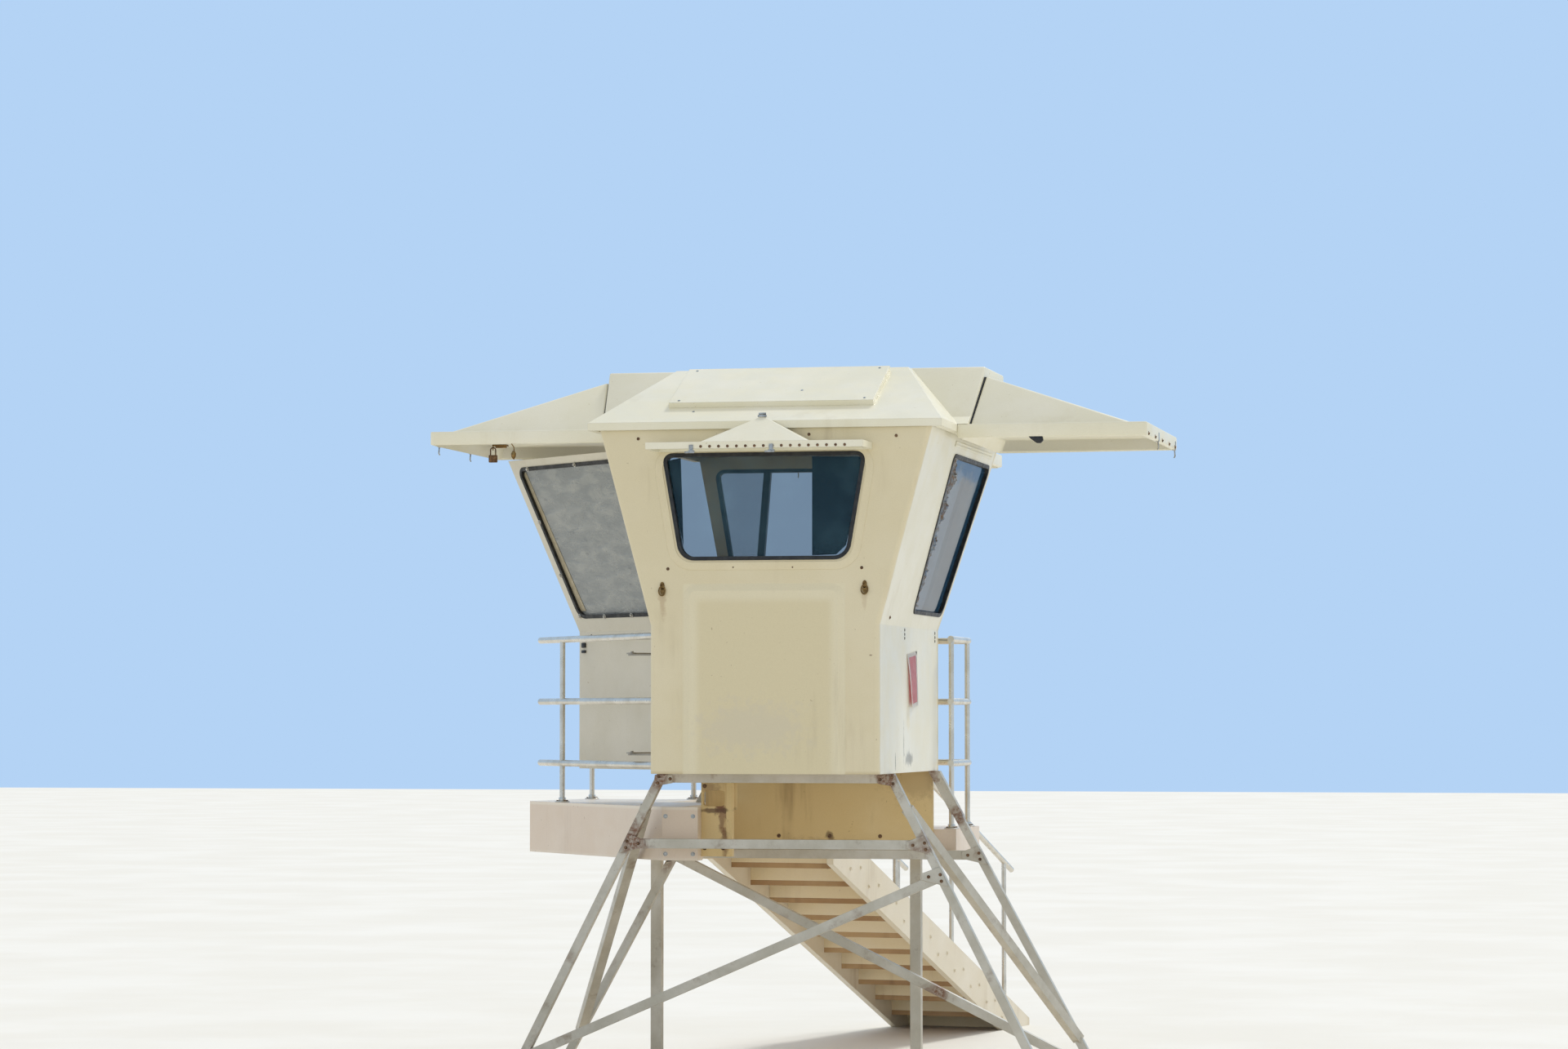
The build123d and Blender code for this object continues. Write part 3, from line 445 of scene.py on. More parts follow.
class Shape:
    """A mesh under way, with the few moves that the fittings need."""

    def __init__(self):
        self.mesh = bmesh.new()

    def hull(self, points):
        verts = [self.mesh.verts.new(p) for p in points]
        made = bmesh.ops.convex_hull(self.mesh, input=verts)
        spare = made["geom_interior"] + made["geom_unused"]
        loose = {v for v in spare if isinstance(v, bmesh.types.BMVert)}
        bmesh.ops.delete(self.mesh, geom=list(loose), context="VERTS")
        return self

    def box(self, low, high):
        x_pair, y_pair, z_pair = zip(low, high)
        return self.hull([(x, y, z) for x in x_pair for y in y_pair for z in z_pair])

    def tube(self, path, radius, sides=10, closed=False):
        """Round bar along a path of points."""
        rings = []
        count = len(path)
        for index, point in enumerate(path):
            before = path[index - 1] if index or closed else point
            after = path[(index + 1) % count] if index < count - 1 or closed else point
            way = (Vector(after) - Vector(before)).normalized()
            side = way.orthogonal().normalized()
            if rings:
                side = (rings[-1][1] - way * rings[-1][1].dot(way)).normalized()
            other = way.cross(side)
            ring = []
            for step in range(sides):
                angle = 2 * math.pi * step / sides
                ring.append(self.mesh.verts.new(
                    Vector(point) + side * radius * math.cos(angle) + other * radius * math.sin(angle)))
            rings.append((ring, side))
        loops = [ring for ring, side in rings]
        if closed:
            first = loops[0]
            last = loops[-1]
            shift = min(range(sides), key=lambda k: sum(
                (last[i].co - first[(i + k) % sides].co).length for i in range(sides)))
            loops.append(first[shift:] + first[:shift])
        for low, high in zip(loops, loops[1:]):
            for i in range(sides):
                j = (i + 1) % sides
                self.mesh.faces.new((low[i], low[j], high[j], high[i]))
        if not closed:
            self.mesh.faces.new(list(reversed(loops[0])))
            self.mesh.faces.new(loops[-1])
        return self

    def soften(self, size, segments=2, angle=30):
        """Round every edge sharper than an angle."""
        bmesh.ops.dissolve_limit(self.mesh, angle_limit=math.radians(1), verts=self.mesh.verts,
                                 edges=self.mesh.edges)
        sharp = [e for e in self.mesh.edges
                 if len(e.link_faces) == 2 and e.calc_face_angle(0) > math.radians(angle)]
        bmesh.ops.bevel(self.mesh, geom=sharp, offset=size, segments=segments, profile=0.5,
                        affect="EDGES", clamp_overlap=True)
        return self

    def add(self, other):
        """Take in another shape's faces, which ends that shape."""
        spare = bpy.data.meshes.new("spare")
        other.mesh.to_mesh(spare)
        other.mesh.free()
        self.mesh.from_mesh(spare)
        bpy.data.meshes.remove(spare)
        return self

    def done(self, name, finish=None, body="tower", slot="hinge_steel", smooth=35):
        """Turn the shape into a piece, with its slot's own finish unless another is given."""
        bmesh.ops.recalc_face_normals(self.mesh, faces=self.mesh.faces)
        data = bpy.data.meshes.new(name)
        self.mesh.to_mesh(data)
        self.mesh.free()
        return place_mesh(data, name, finish or finishes[slot], body, slot, smooth)


def added(name, data):
    """New object in the scene."""
    made = bpy.data.objects.new(name, data)
    bpy.context.collection.objects.link(made)
    return made


def place_mesh(data, name, finish, body="tower", slot="hinge_steel", smooth=35):
    """Put a finished mesh in the scene as a piece that rides on a body."""
    if finish is not None:
        data.materials.clear()
        data.materials.append(finish)
    for face in data.polygons:
        face.use_smooth = True
    data.set_sharp_from_angle(angle=math.radians(smooth))
    piece = added(name, data)
    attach(piece, body)
    return piece


# Geometry Nodes for what repeats


class Tree(Nodes):
    """A geometry tree with named inputs, run once on a mesh and left behind as plain faces."""

    def __init__(self, name):
        super().__init__(bpy.data.node_groups.new(name, "GeometryNodeTree"))
        for way in ("INPUT", "OUTPUT"):
            self.tree.interface.new_socket("Geometry", in_out=way, socket_type="NodeSocketGeometry")
        self.start = self.node("NodeGroupInput")
        self.end = self.node("NodeGroupOutput")
        self.names = {}

    def size(self, name, value, kind="NodeSocketFloat"):
        socket = self.tree.interface.new_socket(name, in_out="INPUT", socket_type=kind)
        if value is not None:
            socket.default_value = value
        self.names[name] = socket.identifier
        return self.start.outputs[name]

    def join(self, *parts):
        made = self.node("GeometryNodeJoinGeometry")
        for part in parts:
            self.feed(made.inputs["Geometry"], part)
        return made.outputs["Geometry"]

    def shifted(self, geometry, letter, amount):
        """Geometry moved along one axis."""
        way = self.node("ShaderNodeCombineXYZ", {letter: amount})
        return self.node("GeometryNodeTransform", {
            "Geometry": geometry, "Translation": way.outputs["Vector"]}).outputs["Geometry"]

    def facing(self):
        """Rotation that stands a shape up along each point's facing attribute."""
        way = self.node("GeometryNodeInputNamedAttribute", {"Name": "facing"}, data_type="FLOAT_VECTOR")
        return self.node("FunctionNodeAlignRotationToVector", {"Vector": way.outputs["Attribute"]},
                         axis="Z").outputs["Rotation"]

    def on_points(self, points, shape, **turn):
        return self.node("GeometryNodeInstanceOnPoints", {
            "Points": points, "Instance": shape, **turn}).outputs["Instances"]

    def finish(self, geometry):
        whole = self.node("GeometryNodeRealizeInstances", {"Geometry": geometry})
        paint = self.node("GeometryNodeSetMaterial", {"Geometry": whole.outputs["Geometry"]})
        self.feed(paint.inputs["Material"], self.size("Finish", None, "NodeSocketMaterial"))
        self.feed(self.end.inputs["Geometry"], paint.outputs["Geometry"])
        return self

    def run(self, data, name, **values):
        holder = added(name + "_points", data)
        step = holder.modifiers.new("tree", "NODES")
        step.node_group = self.tree
        for key, value in values.items():
            step[self.names[key.replace("_", " ").capitalize()]] = value
        graph = bpy.context.evaluated_depsgraph_get()
        made = bpy.data.meshes.new_from_object(holder.evaluated_get(graph))
        holder.modifiers.remove(step)
        bpy.data.objects.remove(holder)
        bpy.data.meshes.remove(data)
        made.name = name
        return made


def fastener_tree():
    """Washer and head on every point, turned at random about its facing."""
    tree = Tree("fasteners")
    head = tree.size("Head radius", 0.006)
    height = tree.size("Head height", 0.004)
    washer = tree.size("Washer radius", 0.009)
    sides = tree.size("Sides", 12, "NodeSocketInt")
    crown = tree.size("Crown", 0.7)
    seed = tree.size("Seed", 3, "NodeSocketInt")
    disc = tree.node("GeometryNodeMeshCylinder", {
        "Vertices": 16, "Radius": washer, "Depth": tree.math("MULTIPLY", height, 0.5)})
    cap = tree.node("GeometryNodeMeshCone", {
        "Vertices": sides, "Radius Top": tree.math("MULTIPLY", head, crown), "Radius Bottom": head,
        "Depth": height})
    raised = tree.shifted(cap.outputs["Mesh"], "Z", tree.math("MULTIPLY", height, 0.2))
    both = tree.join(disc.outputs["Mesh"], raised)
    turn = tree.node("FunctionNodeRandomValue", {"Max": math.pi, "Seed": seed}, data_type="FLOAT")
    spin = tree.node("FunctionNodeAxisAngleToRotation", {"Angle": turn.outputs["Value"]})
    stand = tree.node("FunctionNodeRotateRotation", {
        "Rotation": tree.facing(), "Rotate By": spin.outputs["Rotation"]}, rotation_space="LOCAL")
    return tree.finish(tree.on_points(tree.start.outputs["Geometry"], both,
                                      Rotation=stand.outputs["Rotation"]))


def perforated_tree():
    """Flat strip along X with a row of round holes through its thickness."""
    tree = Tree("perforated strip")
    count = tree.size("Hole count", 20, "NodeSocketInt")
    pitch = tree.size("Pitch", 0.03)
    width = tree.size("Strip width", 0.026)
    hole = tree.size("Hole radius", 0.005)
    thick = tree.size("Thickness", 0.003)
    step = tree.node("ShaderNodeCombineXYZ", {"X": pitch})
    row = tree.node("GeometryNodeMeshLine", {"Offset": step.outputs["Vector"], "Count": count})
    ring = tree.node("GeometryNodeCurvePrimitiveCircle", {"Resolution": 10, "Radius": hole})
    rings = tree.on_points(row.outputs["Mesh"], ring.outputs["Curve"])
    holes = tree.node("GeometryNodeRealizeInstances", {"Geometry": rings})
    edge = tree.node("GeometryNodeCurvePrimitiveQuadrilateral", {
        "Width": tree.math("MULTIPLY", pitch, count), "Height": width})
    half = tree.math("MULTIPLY", pitch, tree.math("MULTIPLY", tree.math("SUBTRACT", count, 1), 0.5))
    both = tree.join(tree.shifted(edge.outputs["Curve"], "X", half), holes.outputs["Geometry"])
    fill = tree.node("GeometryNodeFillCurve", {"Curve": both}).outputs["Mesh"]
    rise = tree.node("GeometryNodeExtrudeMesh", {"Individual": False, "Mesh": fill, "Offset Scale": thick})
    flip = tree.node("GeometryNodeFlipFaces", {"Mesh": fill})
    shell = tree.join(rise.outputs["Mesh"], flip.outputs["Mesh"])
    merge = tree.node("GeometryNodeMergeByDistance", {"Distance": 0.00001, "Geometry": shell})
    return tree.finish(merge.outputs["Geometry"])


def bar_tree():
    """Low rounded rib on every point, lying along its facing."""
    tree = Tree("ribs")
    length = tree.size("Rib length", 0.6)
    radius = tree.size("Rib radius", 0.005)
    bar = tree.node("GeometryNodeMeshCylinder", {"Vertices": 8, "Radius": radius, "Depth": length})
    return tree.finish(tree.on_points(tree.start.outputs["Geometry"], bar.outputs["Mesh"],
                                      Rotation=tree.facing()))


def point_cloud(places):
    """Mesh of loose points, each with the way it faces."""
    data = bpy.data.meshes.new("points")
    data.from_pydata([tuple(p) for p, way in places], [], [])
    facing = data.attributes.new("facing", "FLOAT_VECTOR", "POINT")
    facing.data.foreach_set("vector", [c for p, way in places for c in Vector(way).normalized()])
    return data


fasteners = fastener_tree()
perforated = perforated_tree()
ribs = bar_tree()
hex_head = {"sides": 6, "crown": 0.95}


def fasten(name, places, finish, body="tower", slot="hinge_steel", head=0.006, height=0.004,
           washer=0.009, sides=12, crown=0.7):
    made = fasteners.run(point_cloud(places), name, head_radius=head, head_height=height,
                         washer_radius=washer, sides=sides, crown=crown, finish=finish)
    return place_mesh(made, name, None, body, slot)


def strip_along(name, start, end, out, slot, pitch=0.028):
    """Perforated strip from one point to another, its face turned outwards."""
    line = end - start
    made = perforated.run(bpy.data.meshes.new("seed"), name, hole_count=int(line.length / pitch),
                          pitch=pitch, strip_width=0.030, hole_radius=0.0050, thickness=0.003,
                          finish=finishes[slot])
    along = line.normalized()
    across = Vector(out).normalized().cross(along).normalized()
    turn = Matrix((along, across, along.cross(across))).transposed().to_4x4()
    made.transform(Matrix.Translation(start + along * pitch / 2) @ turn)
    return place_mesh(made, name, None, "tower", slot)


# Raised shutters and the roof's gables


def turned(points, quarter, shift):
    """Swing points drawn with their outer end towards -Y round to another side of the roof."""
    spin = Matrix.Rotation(math.radians(90 * quarter), 4, "Z")
    return [spin @ Vector(p) + shift for p in points]


def shutter_shape(half, reach, quarter, shift):
    """Shallow tray with rounded lips and a hollow underside, under a cap with steep sides."""
    tray = Shape()
    corners = [(x, y, z) for x in (-half, half) for y in (-reach, 0) for z in (low_lip, eave)]
    tray.hull(turned(corners, quarter, shift))
    bmesh.ops.dissolve_limit(tray.mesh, angle_limit=0.02, verts=tray.mesh.verts, edges=tray.mesh.edges)
    under = [f for f in tray.mesh.faces if f.calc_center_median().z < low_lip + 0.001]
    bmesh.ops.inset_region(tray.mesh, faces=under, thickness=0.034)
    middle = max((f for f in tray.mesh.faces if f.calc_center_median().z < low_lip + 0.001),
                 key=lambda f: f.calc_area())
    bmesh.ops.inset_region(tray.mesh, faces=[middle], thickness=0.045, depth=0.0)
    for vert in middle.verts:
        vert.co.z = pocket
    tray.soften(0.006, 3, 25)
    ledge = half - 0.06
    crest = half - 0.34
    foot = eave - 0.004
    cap_points = [(side * ledge, y, foot) for side in (-1, 1) for y in (-reach + 0.075, -0.059)]
    cap_points += [(side * crest, -0.10, eave + 0.278) for side in (-1, 1)]
    return tray.add(Shape().hull(turned(cap_points, quarter, shift)).soften(0.012, 3, 18))


for name, half, reach, quarter, shift in (
    ("shutter_left", 0.650, side_reach, -1, at(-half_eave - shutter_gap, 1.100, 0)),
    ("shutter_right", 0.650, side_reach, 1, at(half_eave + shutter_gap, 1.100, 0)),
    ("shutter_front", 0.750, front_reach, 2, at(0, front_eave + shutter_gap, 0)),
):
    shape = shutter_shape(half, reach, quarter, shift)
    piece = shape.done("raised_" + name, slot="roof_shell", smooth=40)
    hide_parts(name)


def three_slabs(top, side_corners, front_corners, side_depths, front_depths, rounding=0.0):
    """Slab on both sides and the front of the roof, each between two depths at its four corners."""
    foot = eave + 0.002
    heights = (foot, foot, top, top)
    slabs = [[at(side * deep, ahead, z) for (ahead, out), z in zip(side_corners, heights)
              for deep in side_depths(out)] for side in (-1, 1)]
    slabs.append([at(x, deep, z) for (x, out), z in zip(front_corners, heights)
                  for deep in front_depths(out)])
    whole = Shape()
    for points in slabs:
        slab = Shape().hull(points)
        if rounding:
            slab.soften(rounding, 3, 20)
        whole.add(slab)
    return whole


# Steep-sided gables between the roof's crown and each shutter's cap
three_slabs(
    eave + 0.331,
    ((0.500, 1.000), (1.700, 1.000), (0.800, 1.040), (1.400, 1.040)),
    ((-0.700, 2.228), (0.700, 2.228), (-0.420, 2.268), (0.420, 2.268)),
    lambda out: (out, 0.560), lambda out: (out, 1.380), 0.010,
).done("roof_gables", slot="roof_shell", smooth=40)

# Dark strip in the gap between each gable and its shutter's cap: painted shade of the gap
three_slabs(
    eave + 0.275,
    ((0.513, 1.000), (1.687, 1.000), (0.795, 1.037), (1.405, 1.037)),
    ((-0.688, 2.228), (0.688, 2.228), (-0.406, 2.265), (0.406, 2.265)),
    lambda out: (out - 0.010, out + 0.005), lambda out: (out - 0.010, out + 0.005),
).done("cap_gap_shade", slot="window_rubber")

# Fittings on the walls
wall_screws = [(at(x, 0, z), to_rear) for x, z in (
    (-0.675, 3.457), (0.241, 3.468), (0.703, 3.455), (-0.514, 2.772), (-0.163, 2.778), (0.154, 2.776),
    (0.520, 2.771))]
fasten("wall_screws", wall_screws, rusty_steel, head=0.0055, washer=0.0085)

hood_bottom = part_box("rear_hood")[0].z
hood_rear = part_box("rear_hood")[0].y - rear_face
rivets = [(at(-0.327 + 0.0475 * i, hood_rear - 0.0005, hood_bottom + 0.011), to_rear) for i in range(18)]
fasten("hood_rivets", rivets, rusty_steel, head=0.005, washer=0.0075)


def on_hood(x, behind, z):
    """Point from the hood's rear rim, with its height from the hood's lower edge."""
    return at(x, hood_rear - behind, hood_bottom + z)


def hood_clip(x):
    """Folded clip that holds the hood shut, hanging below its hinge."""
    clip = Shape().box(on_hood(x - 0.011, 0.006, -0.014), on_hood(x + 0.011, -0.001, 0.020))
    clip.add(Shape().box(on_hood(x - 0.034, 0.008, -0.024), on_hood(x + 0.018, -0.001, -0.014)))
    pin = [on_hood(x - 0.016, 0.004, -0.012), on_hood(x + 0.020, 0.004, -0.012)]
    return clip.add(Shape().tube(pin, 0.004, 8)).soften(0.0015, 1)


hood_clip(-0.330).add(hood_clip(0.094)).done("hood_clips", steel)
bracket = Shape().box(at(-0.024, -0.040, hood_bottom + 0.174), at(0.024, -0.018, hood_bottom + 0.186))
bracket_pin = [at(x, -0.030, hood_bottom + 0.192) for x in (-0.020, 0.020)]
bracket.add(Shape().tube(bracket_pin, 0.006, 10))
bracket.soften(0.0015, 1).done("hood_peak_bracket", steel)


def round_steps(count):
    """Angles of equal steps round a full turn."""
    return [2 * math.pi * k / count for k in range(count)]


def drop_ring(x, z):
    """Oval ring hanging from an eye on a long narrow plate."""
    def disc(wide, tall, rise):
        return Shape().hull([at(x + wide * math.cos(a), y, z + rise + tall * math.sin(a))
                             for a in round_steps(16 if rise else 20) for y in (-0.004, 0.001)])

    eye = [at(x + 0.008 * math.cos(a), -0.008, z + 0.026 + 0.010 * math.sin(a)) for a in round_steps(12)]
    ring = [at(x + 0.017 * math.cos(a), -0.009 + 0.003 * math.sin(a), z + 0.024 * math.sin(a))
            for a in round_steps(24)]
    plate = disc(0.012, 0.020, 0.028)
    plate.add(Shape().tube(eye, 0.0030, 8, closed=True)).add(Shape().tube(ring, 0.0038, 8, closed=True))
    return plate.add(disc(0.011, 0.018, 0.0))


drop_ring(-0.544, 2.656).done("drop_ring_left", brass)
drop_ring(0.536, 2.658).done("drop_ring_right", brass)

right_screws = [(on_right_wall(0.248, 2.518), (1, 0, -side_lean))]
fasten("side_wall_screws", right_screws, rusty_steel, head=0.007, height=0.005, washer=0.010)
# Dark discs for empty holes in the walls: painted shade inside them
hole_places = [(at(side * (half_cab + 0.0005), ahead, z), (side, 0, 0))
               for side, spots in ((1, (0.730, 1.645)), (-1, (0.25, 0.60)))
               for ahead in spots for z in (2.462, 2.439, 2.418)]
fasten("wall_holes", hole_places, hole_shade, "tower", "window_rubber", head=0.007, height=0.0015)


def sheet(name, grid, thickness, materials, slot, smooth):
    """Thin sheet over rows of points, with a second material for all but its border."""
    mesh = bmesh.new()
    rows = [[mesh.verts.new(point) for point in line] for line in grid]
    last_row = len(rows) - 2
    last_column = len(rows[0]) - 2
    for i, (low, high) in enumerate(zip(rows, rows[1:])):
        for j in range(last_column + 1):
            face = mesh.faces.new((low[j], high[j], high[j + 1], low[j + 1]))
            if len(materials) > 1 and 0 < i < last_row and 0 < j < last_column:
                face.material_index = 1
    bmesh.ops.solidify(mesh, geom=mesh.faces, thickness=thickness)
    bmesh.ops.recalc_face_normals(mesh, faces=mesh.faces)
    data = bpy.data.meshes.new(name)
    mesh.to_mesh(data)
    mesh.free()
    for material in materials:
        data.materials.append(material)
    return place_mesh(data, name, None, "tower", slot, smooth)


def card_point(v, u):
    """Point on a plain card, bowed away from the wall and curling at its lower edge."""
    proud = 0.003 + 0.010 * math.sin(math.pi * v) * (1 - u) + 0.022 * v ** 3 * (1 - u) ** 2
    return at(half_cab + proud, 0.788 + 0.048 * v + 0.285 * u, 2.334 - 0.292 * v + 0.020 * u)


card_rows = [[card_point(i / 14, j / 8) for j in range(9)] for i in range(15)]
sheet("notice_card", card_rows, 0.0012, (card_white, card_pink), "shell", 60)


def foil_rows(rows=70, columns=6):
    """Crumpled foil tucked along the rear edge of the side window, torn unevenly."""
    pick = random.Random(11)
    for i in range(rows + 1):
        v = i / rows
        z = 3.395 - 0.800 * v
        wide = (0.215 - 0.150 * v) * (0.75 + 0.5 * pick.random())
        line = []
        for j in range(columns + 1):
            u = j / columns
            push = 0.012 * (pick.random() - 0.5) + 0.008 * math.sin(9 * v * math.pi + 4 * u)
            height = z + 0.006 * (pick.random() - 0.5)
            line.append(on_right_wall(0.872 + wide * u, height, push * u - 0.006))
        yield line


sheet("window_foil", foil_rows(), 0.001, (foil,), "hinge_steel", 25)

# Perforated strips under the eaves, over a dark sheet of painted shade that shows through their holes
strip_shade = Shape()
for name, side, row, first, last in (
    ("right", 1, eave - 0.080, 0.800, 1.980),
    ("left", -1, eave - 0.058, 1.600, 0.800),
):
    x = side * (half_width(row) + 0.001)
    strip_along("hinge_strip_" + name, at(x, first, row), at(x, last, row), (side, 0, -side_lean),
                "roof_shell")
    strip_shade.hull([at(side * (half_width(z) + proud), ahead, z) for ahead in (0.805, max(first, last) - 0.005)
                  for z in (row - 0.008, row + 0.008) for proud in (-0.001, 0.0022)])
strip_shade.done("hinge_strip_shade", hole_shade, "tower", "window_rubber")

# Dark sheets inside both ends of the rear window: painted shade that stands for the shaded cab interior seen
# through the glass
shade_sheet_plane = 0.026
film = Shape()
for corners in (
    ((0.252, 3.355), (0.545, 3.350), (0.520, 3.250), (0.432, 2.890), (0.380, 2.842), (0.252, 2.838)),
    ((-0.528, 3.340), (-0.452, 3.355), (-0.436, 2.890), (-0.437, 2.900)),
):
    film.hull([at(x, y, z) for x, z in corners for y in (shade_sheet_plane, shade_sheet_plane + 0.0008)])
film.done("rear_window_shade_sheets", interior_shade_sheet, "tower", "tinted_glass")


def border_plate(grow, thick, points):
    """Low moulded border round a window, a flat ring with a rounded outline."""
    plate = Shape()
    loops = []
    section = ((0.0, 0.002), (0.0, -thick), (grow - 0.006, -thick), (grow, -thick * 0.3), (grow, 0.002))
    for extra, y in section:
        ring = [at(x + nx * extra, y, z + nz * extra) for x, z, nx, nz in points]
        loops.append([plate.mesh.verts.new(point) for point in ring])
    for one, two in zip(loops, loops[1:] + loops[:1]):
        for k in range(len(points)):
            n = (k + 1) % len(points)
            plate.mesh.faces.new((one[k], one[n], two[n], two[k]))
    return plate


def window_outline(top, bottom, half_top, half_bottom, radius, steps=8):
    """Rounded outline of the rear window with the direction that points away from it."""
    corners = [Vector(c) for c in ((-half_top, top), (-half_bottom, bottom), (half_bottom, bottom),
                                   (half_top, top))]
    points = []
    for k in range(4):
        here = corners[k]
        to_last = (corners[k - 1] - here).normalized()
        to_next = (corners[(k + 1) % 4] - here).normalized()
        half_turn = to_last.angle(to_next) / 2
        centre = here + (to_last + to_next).normalized() * radius / math.sin(half_turn)
        first = here + to_last * radius / math.tan(half_turn) - centre
        last = here + to_next * radius / math.tan(half_turn) - centre
        for j in range(steps + 1):
            spoke = first.slerp(last, j / steps).normalized()
            spot = centre + spoke * radius
            points.append((spot.x, spot.y, spoke.x, spoke.y))
    return points


rear_window = window_outline(3.388, 2.805, 0.560, 0.462, 0.095)
border_plate(0.042, 0.004, rear_window).done("rear_window_border", rear_wall_gelcoat, "tower", "shell")

# Hardware under the shutters


def padlock():
    """Rusted lock hanging from a hasp at the left shutter's outer lip."""
    x, ahead, top = -1.878, 1.420, low_lip + 0.044
    lock = Shape().box(at(x - 0.024, ahead - 0.011, top - 0.082), at(x + 0.024, ahead + 0.011, top - 0.040))
    lock.soften(0.004, 2)
    bow = [at(x - 0.015 * math.cos(a), ahead, top - 0.012 + 0.014 * math.sin(a))
           for a in (math.pi * k / 8 for k in range(9))]
    bow = [at(x - 0.015, ahead, top - 0.042), *bow, at(x + 0.015, ahead, top - 0.042)]
    return lock.add(Shape().tube(bow, 0.0035, 8))


padlock().done("padlock", rusty_steel)
hasp = Shape().box(at(-1.875, 1.390, pocket - 0.005), at(-1.793, 1.445, pocket + 0.003))
hasp.add(Shape().box(at(-1.881, 1.417, pocket - 0.028), at(-1.875, 1.423, pocket + 0.002)))
hasp.add(Shape().tube([at(x, 1.420, pocket - 0.009) for x in (-1.863, -1.798)], 0.006, 10))
hasp.soften(0.002, 1).done("hasp", brass)

hook_path = [at(x, ahead, low_lip + z) for x, ahead, z in (
    (-1.487, 0.462, 0.020), (-1.498, 0.455, 0.004), (-1.482, 0.452, -0.016), (-1.480, 0.452, -0.040),
    (-1.486, 0.452, -0.062), (-1.480, 0.452, -0.084))]
hook_weight = [at(-1.483 + r * math.cos(a), 0.452 + r * math.sin(a), low_lip - 0.058 + h)
               for r, h in ((0.006, 0.020), (0.014, 0.006), (0.013, -0.010), (0.004, -0.024))
               for a in round_steps(10)]
Shape().tube(hook_path, 0.0032, 8).hull(hook_weight).done("shutter_hook", brass)

latch_outline = ((1.322, 0.004), (1.398, 0.004), (1.402, -0.020), (1.388, -0.034), (1.368, -0.034),
                 (1.335, -0.010))
latch = Shape().hull([at(x, ahead, low_lip + z) for x, z in latch_outline for ahead in (0.452, 0.478)])
latch.soften(0.003, 2).done("shutter_latch", black_plastic, "tower", "window_rubber")


def toggle_clips():
    """Sprung steel clips on the outer lips of the shutters, with their loose hooks below."""
    whole = Shape()
    for out, ahead in ((1, 0.960), (1, 1.690), (-1, 0.600), (-1, 1.200)):
        x = out * (side_lip - 0.018)
        whole.add(Shape().box(at(x, ahead - 0.012, low_lip - 0.004),
                              at(x + out * 0.020, ahead + 0.012, low_lip + 0.046)))
        whole.add(Shape().tube([at(x + out * gap, ahead, low_lip + z) for gap, z in (
            (0.012, 0.01), (0.016, -0.036), (0.010, -0.046))], 0.004, 8))
    for x in (-0.48, 0.48):
        whole.add(Shape().box(at(x - 0.012, front_lip - 0.014, low_lip - 0.004),
                              at(x + 0.012, front_lip + 0.004, low_lip + 0.046)))
        whole.add(Shape().tube([at(x, front_lip + gap, low_lip + z) for gap, z in (
            (0.0, 0.01), (0.004, -0.036), (-0.004, -0.046))], 0.004, 8))
    return whole.soften(0.0015, 1)


toggle_clips().done("toggle_clips", steel)

bolt_height = low_lip + 0.014
bolt_spots = ((-1, (0.50, 0.60, 0.86, 1.12, 1.38, 1.66)), (1, (0.52, 0.80, 1.10, 1.40, 1.66)))
lip_bolts = [(at(side * (side_lip - 0.005), ahead, bolt_height), (side, 0, -0.4))
             for side, spots in bolt_spots for ahead in spots]
lip_bolts += [(at(x, front_lip - 0.005, bolt_height), (0, 1, -0.4)) for x in (-0.66, -0.33, 0.0, 0.33, 0.66)]
fasten("lip_bolts", lip_bolts, rusty_steel, head=0.008, height=0.010, washer=0.012, **hex_head)

slope = math.atan2(0.328, 0.72)
up_slope = Vector((0, math.cos(slope), math.sin(slope)))
off_slope = Vector((0, -math.sin(slope), math.cos(slope)))
roof_foot = at(0, -0.020, eave)
hatch_foot = roof_foot + up_slope * 0.210 + off_slope * 0.030
roof_screws = [(hatch_foot + up_slope * up + Vector((x, 0, 0)), off_slope) for x, up in (
    (-0.50, 0.03), (-0.50, 0.49), (0.50, 0.03), (0.50, 0.49), (0.14, 0.16))]
roof_screws.append((roof_foot + up_slope * 0.150 + Vector((-0.405, 0, 0)), off_slope))
fasten("roof_screws", roof_screws, steel, head=0.005, height=0.003, washer=0.008)

# Door


def on_door_slab(aheads, heights, prouds):
    """Block that lies on the door between pairs of distances."""
    return Shape().hull([on_door(ahead, z, proud) for ahead in aheads for z in heights for proud in prouds])


latch = Shape()
for z, half_tall in ((2.402, 0.014), (2.366, 0.008)):
    latch.add(on_door_slab((1.674, 1.712), (z - half_tall, z + half_tall), (0.001, 0.011)).soften(0.003, 2))
latch.done("door_latch", black_plastic, "door", "window_rubber")

pull_path = [on_door(1.60, z, -wall - gap) for z, gap in (
    (2.10, -0.002), (2.10, 0.040), (2.13, 0.052), (2.29, 0.052), (2.32, 0.040), (2.32, -0.002))]
Shape().tube(pull_path, 0.008, 12).done("door_pull", steel, "door")
outward = (on_door(1.2, 2.0, 0.1) - on_door(1.2, 2.0, 0.0)).normalized()
flare_out = (outward + Vector((0, 0, -side_lean))).normalized()
clip_places = [(on_door(ahead, z, 0.004), flare_out) for ahead, z in (
    (0.885, 2.566), (1.16, 2.562), (1.44, 2.560), (1.70, 2.566), (0.95, 3.402), (1.40, 3.402),
    (1.90, 3.400), (1.80, 2.80), (1.90, 3.10))]
fasten("door_window_clips", clip_places, steel, "door", head=0.010, height=0.008, washer=0.014)
plates = Shape()
for z in (1.790, 2.330, 3.395):
    plates.add(on_door_slab((0.762, 0.900), (z - 0.024, z + 0.032), (-0.001, 0.005)).soften(0.002, 1))
plates.done("door_hinge_plates", body="door")
plate_screws = [(on_door(ahead, z, 0.005), outward) for z in (1.778, 1.812, 2.318, 2.352, 3.383, 3.416)
                for ahead in (0.80, 0.87)]
fasten("door_hinge_screws", plate_screws, steel, "door")

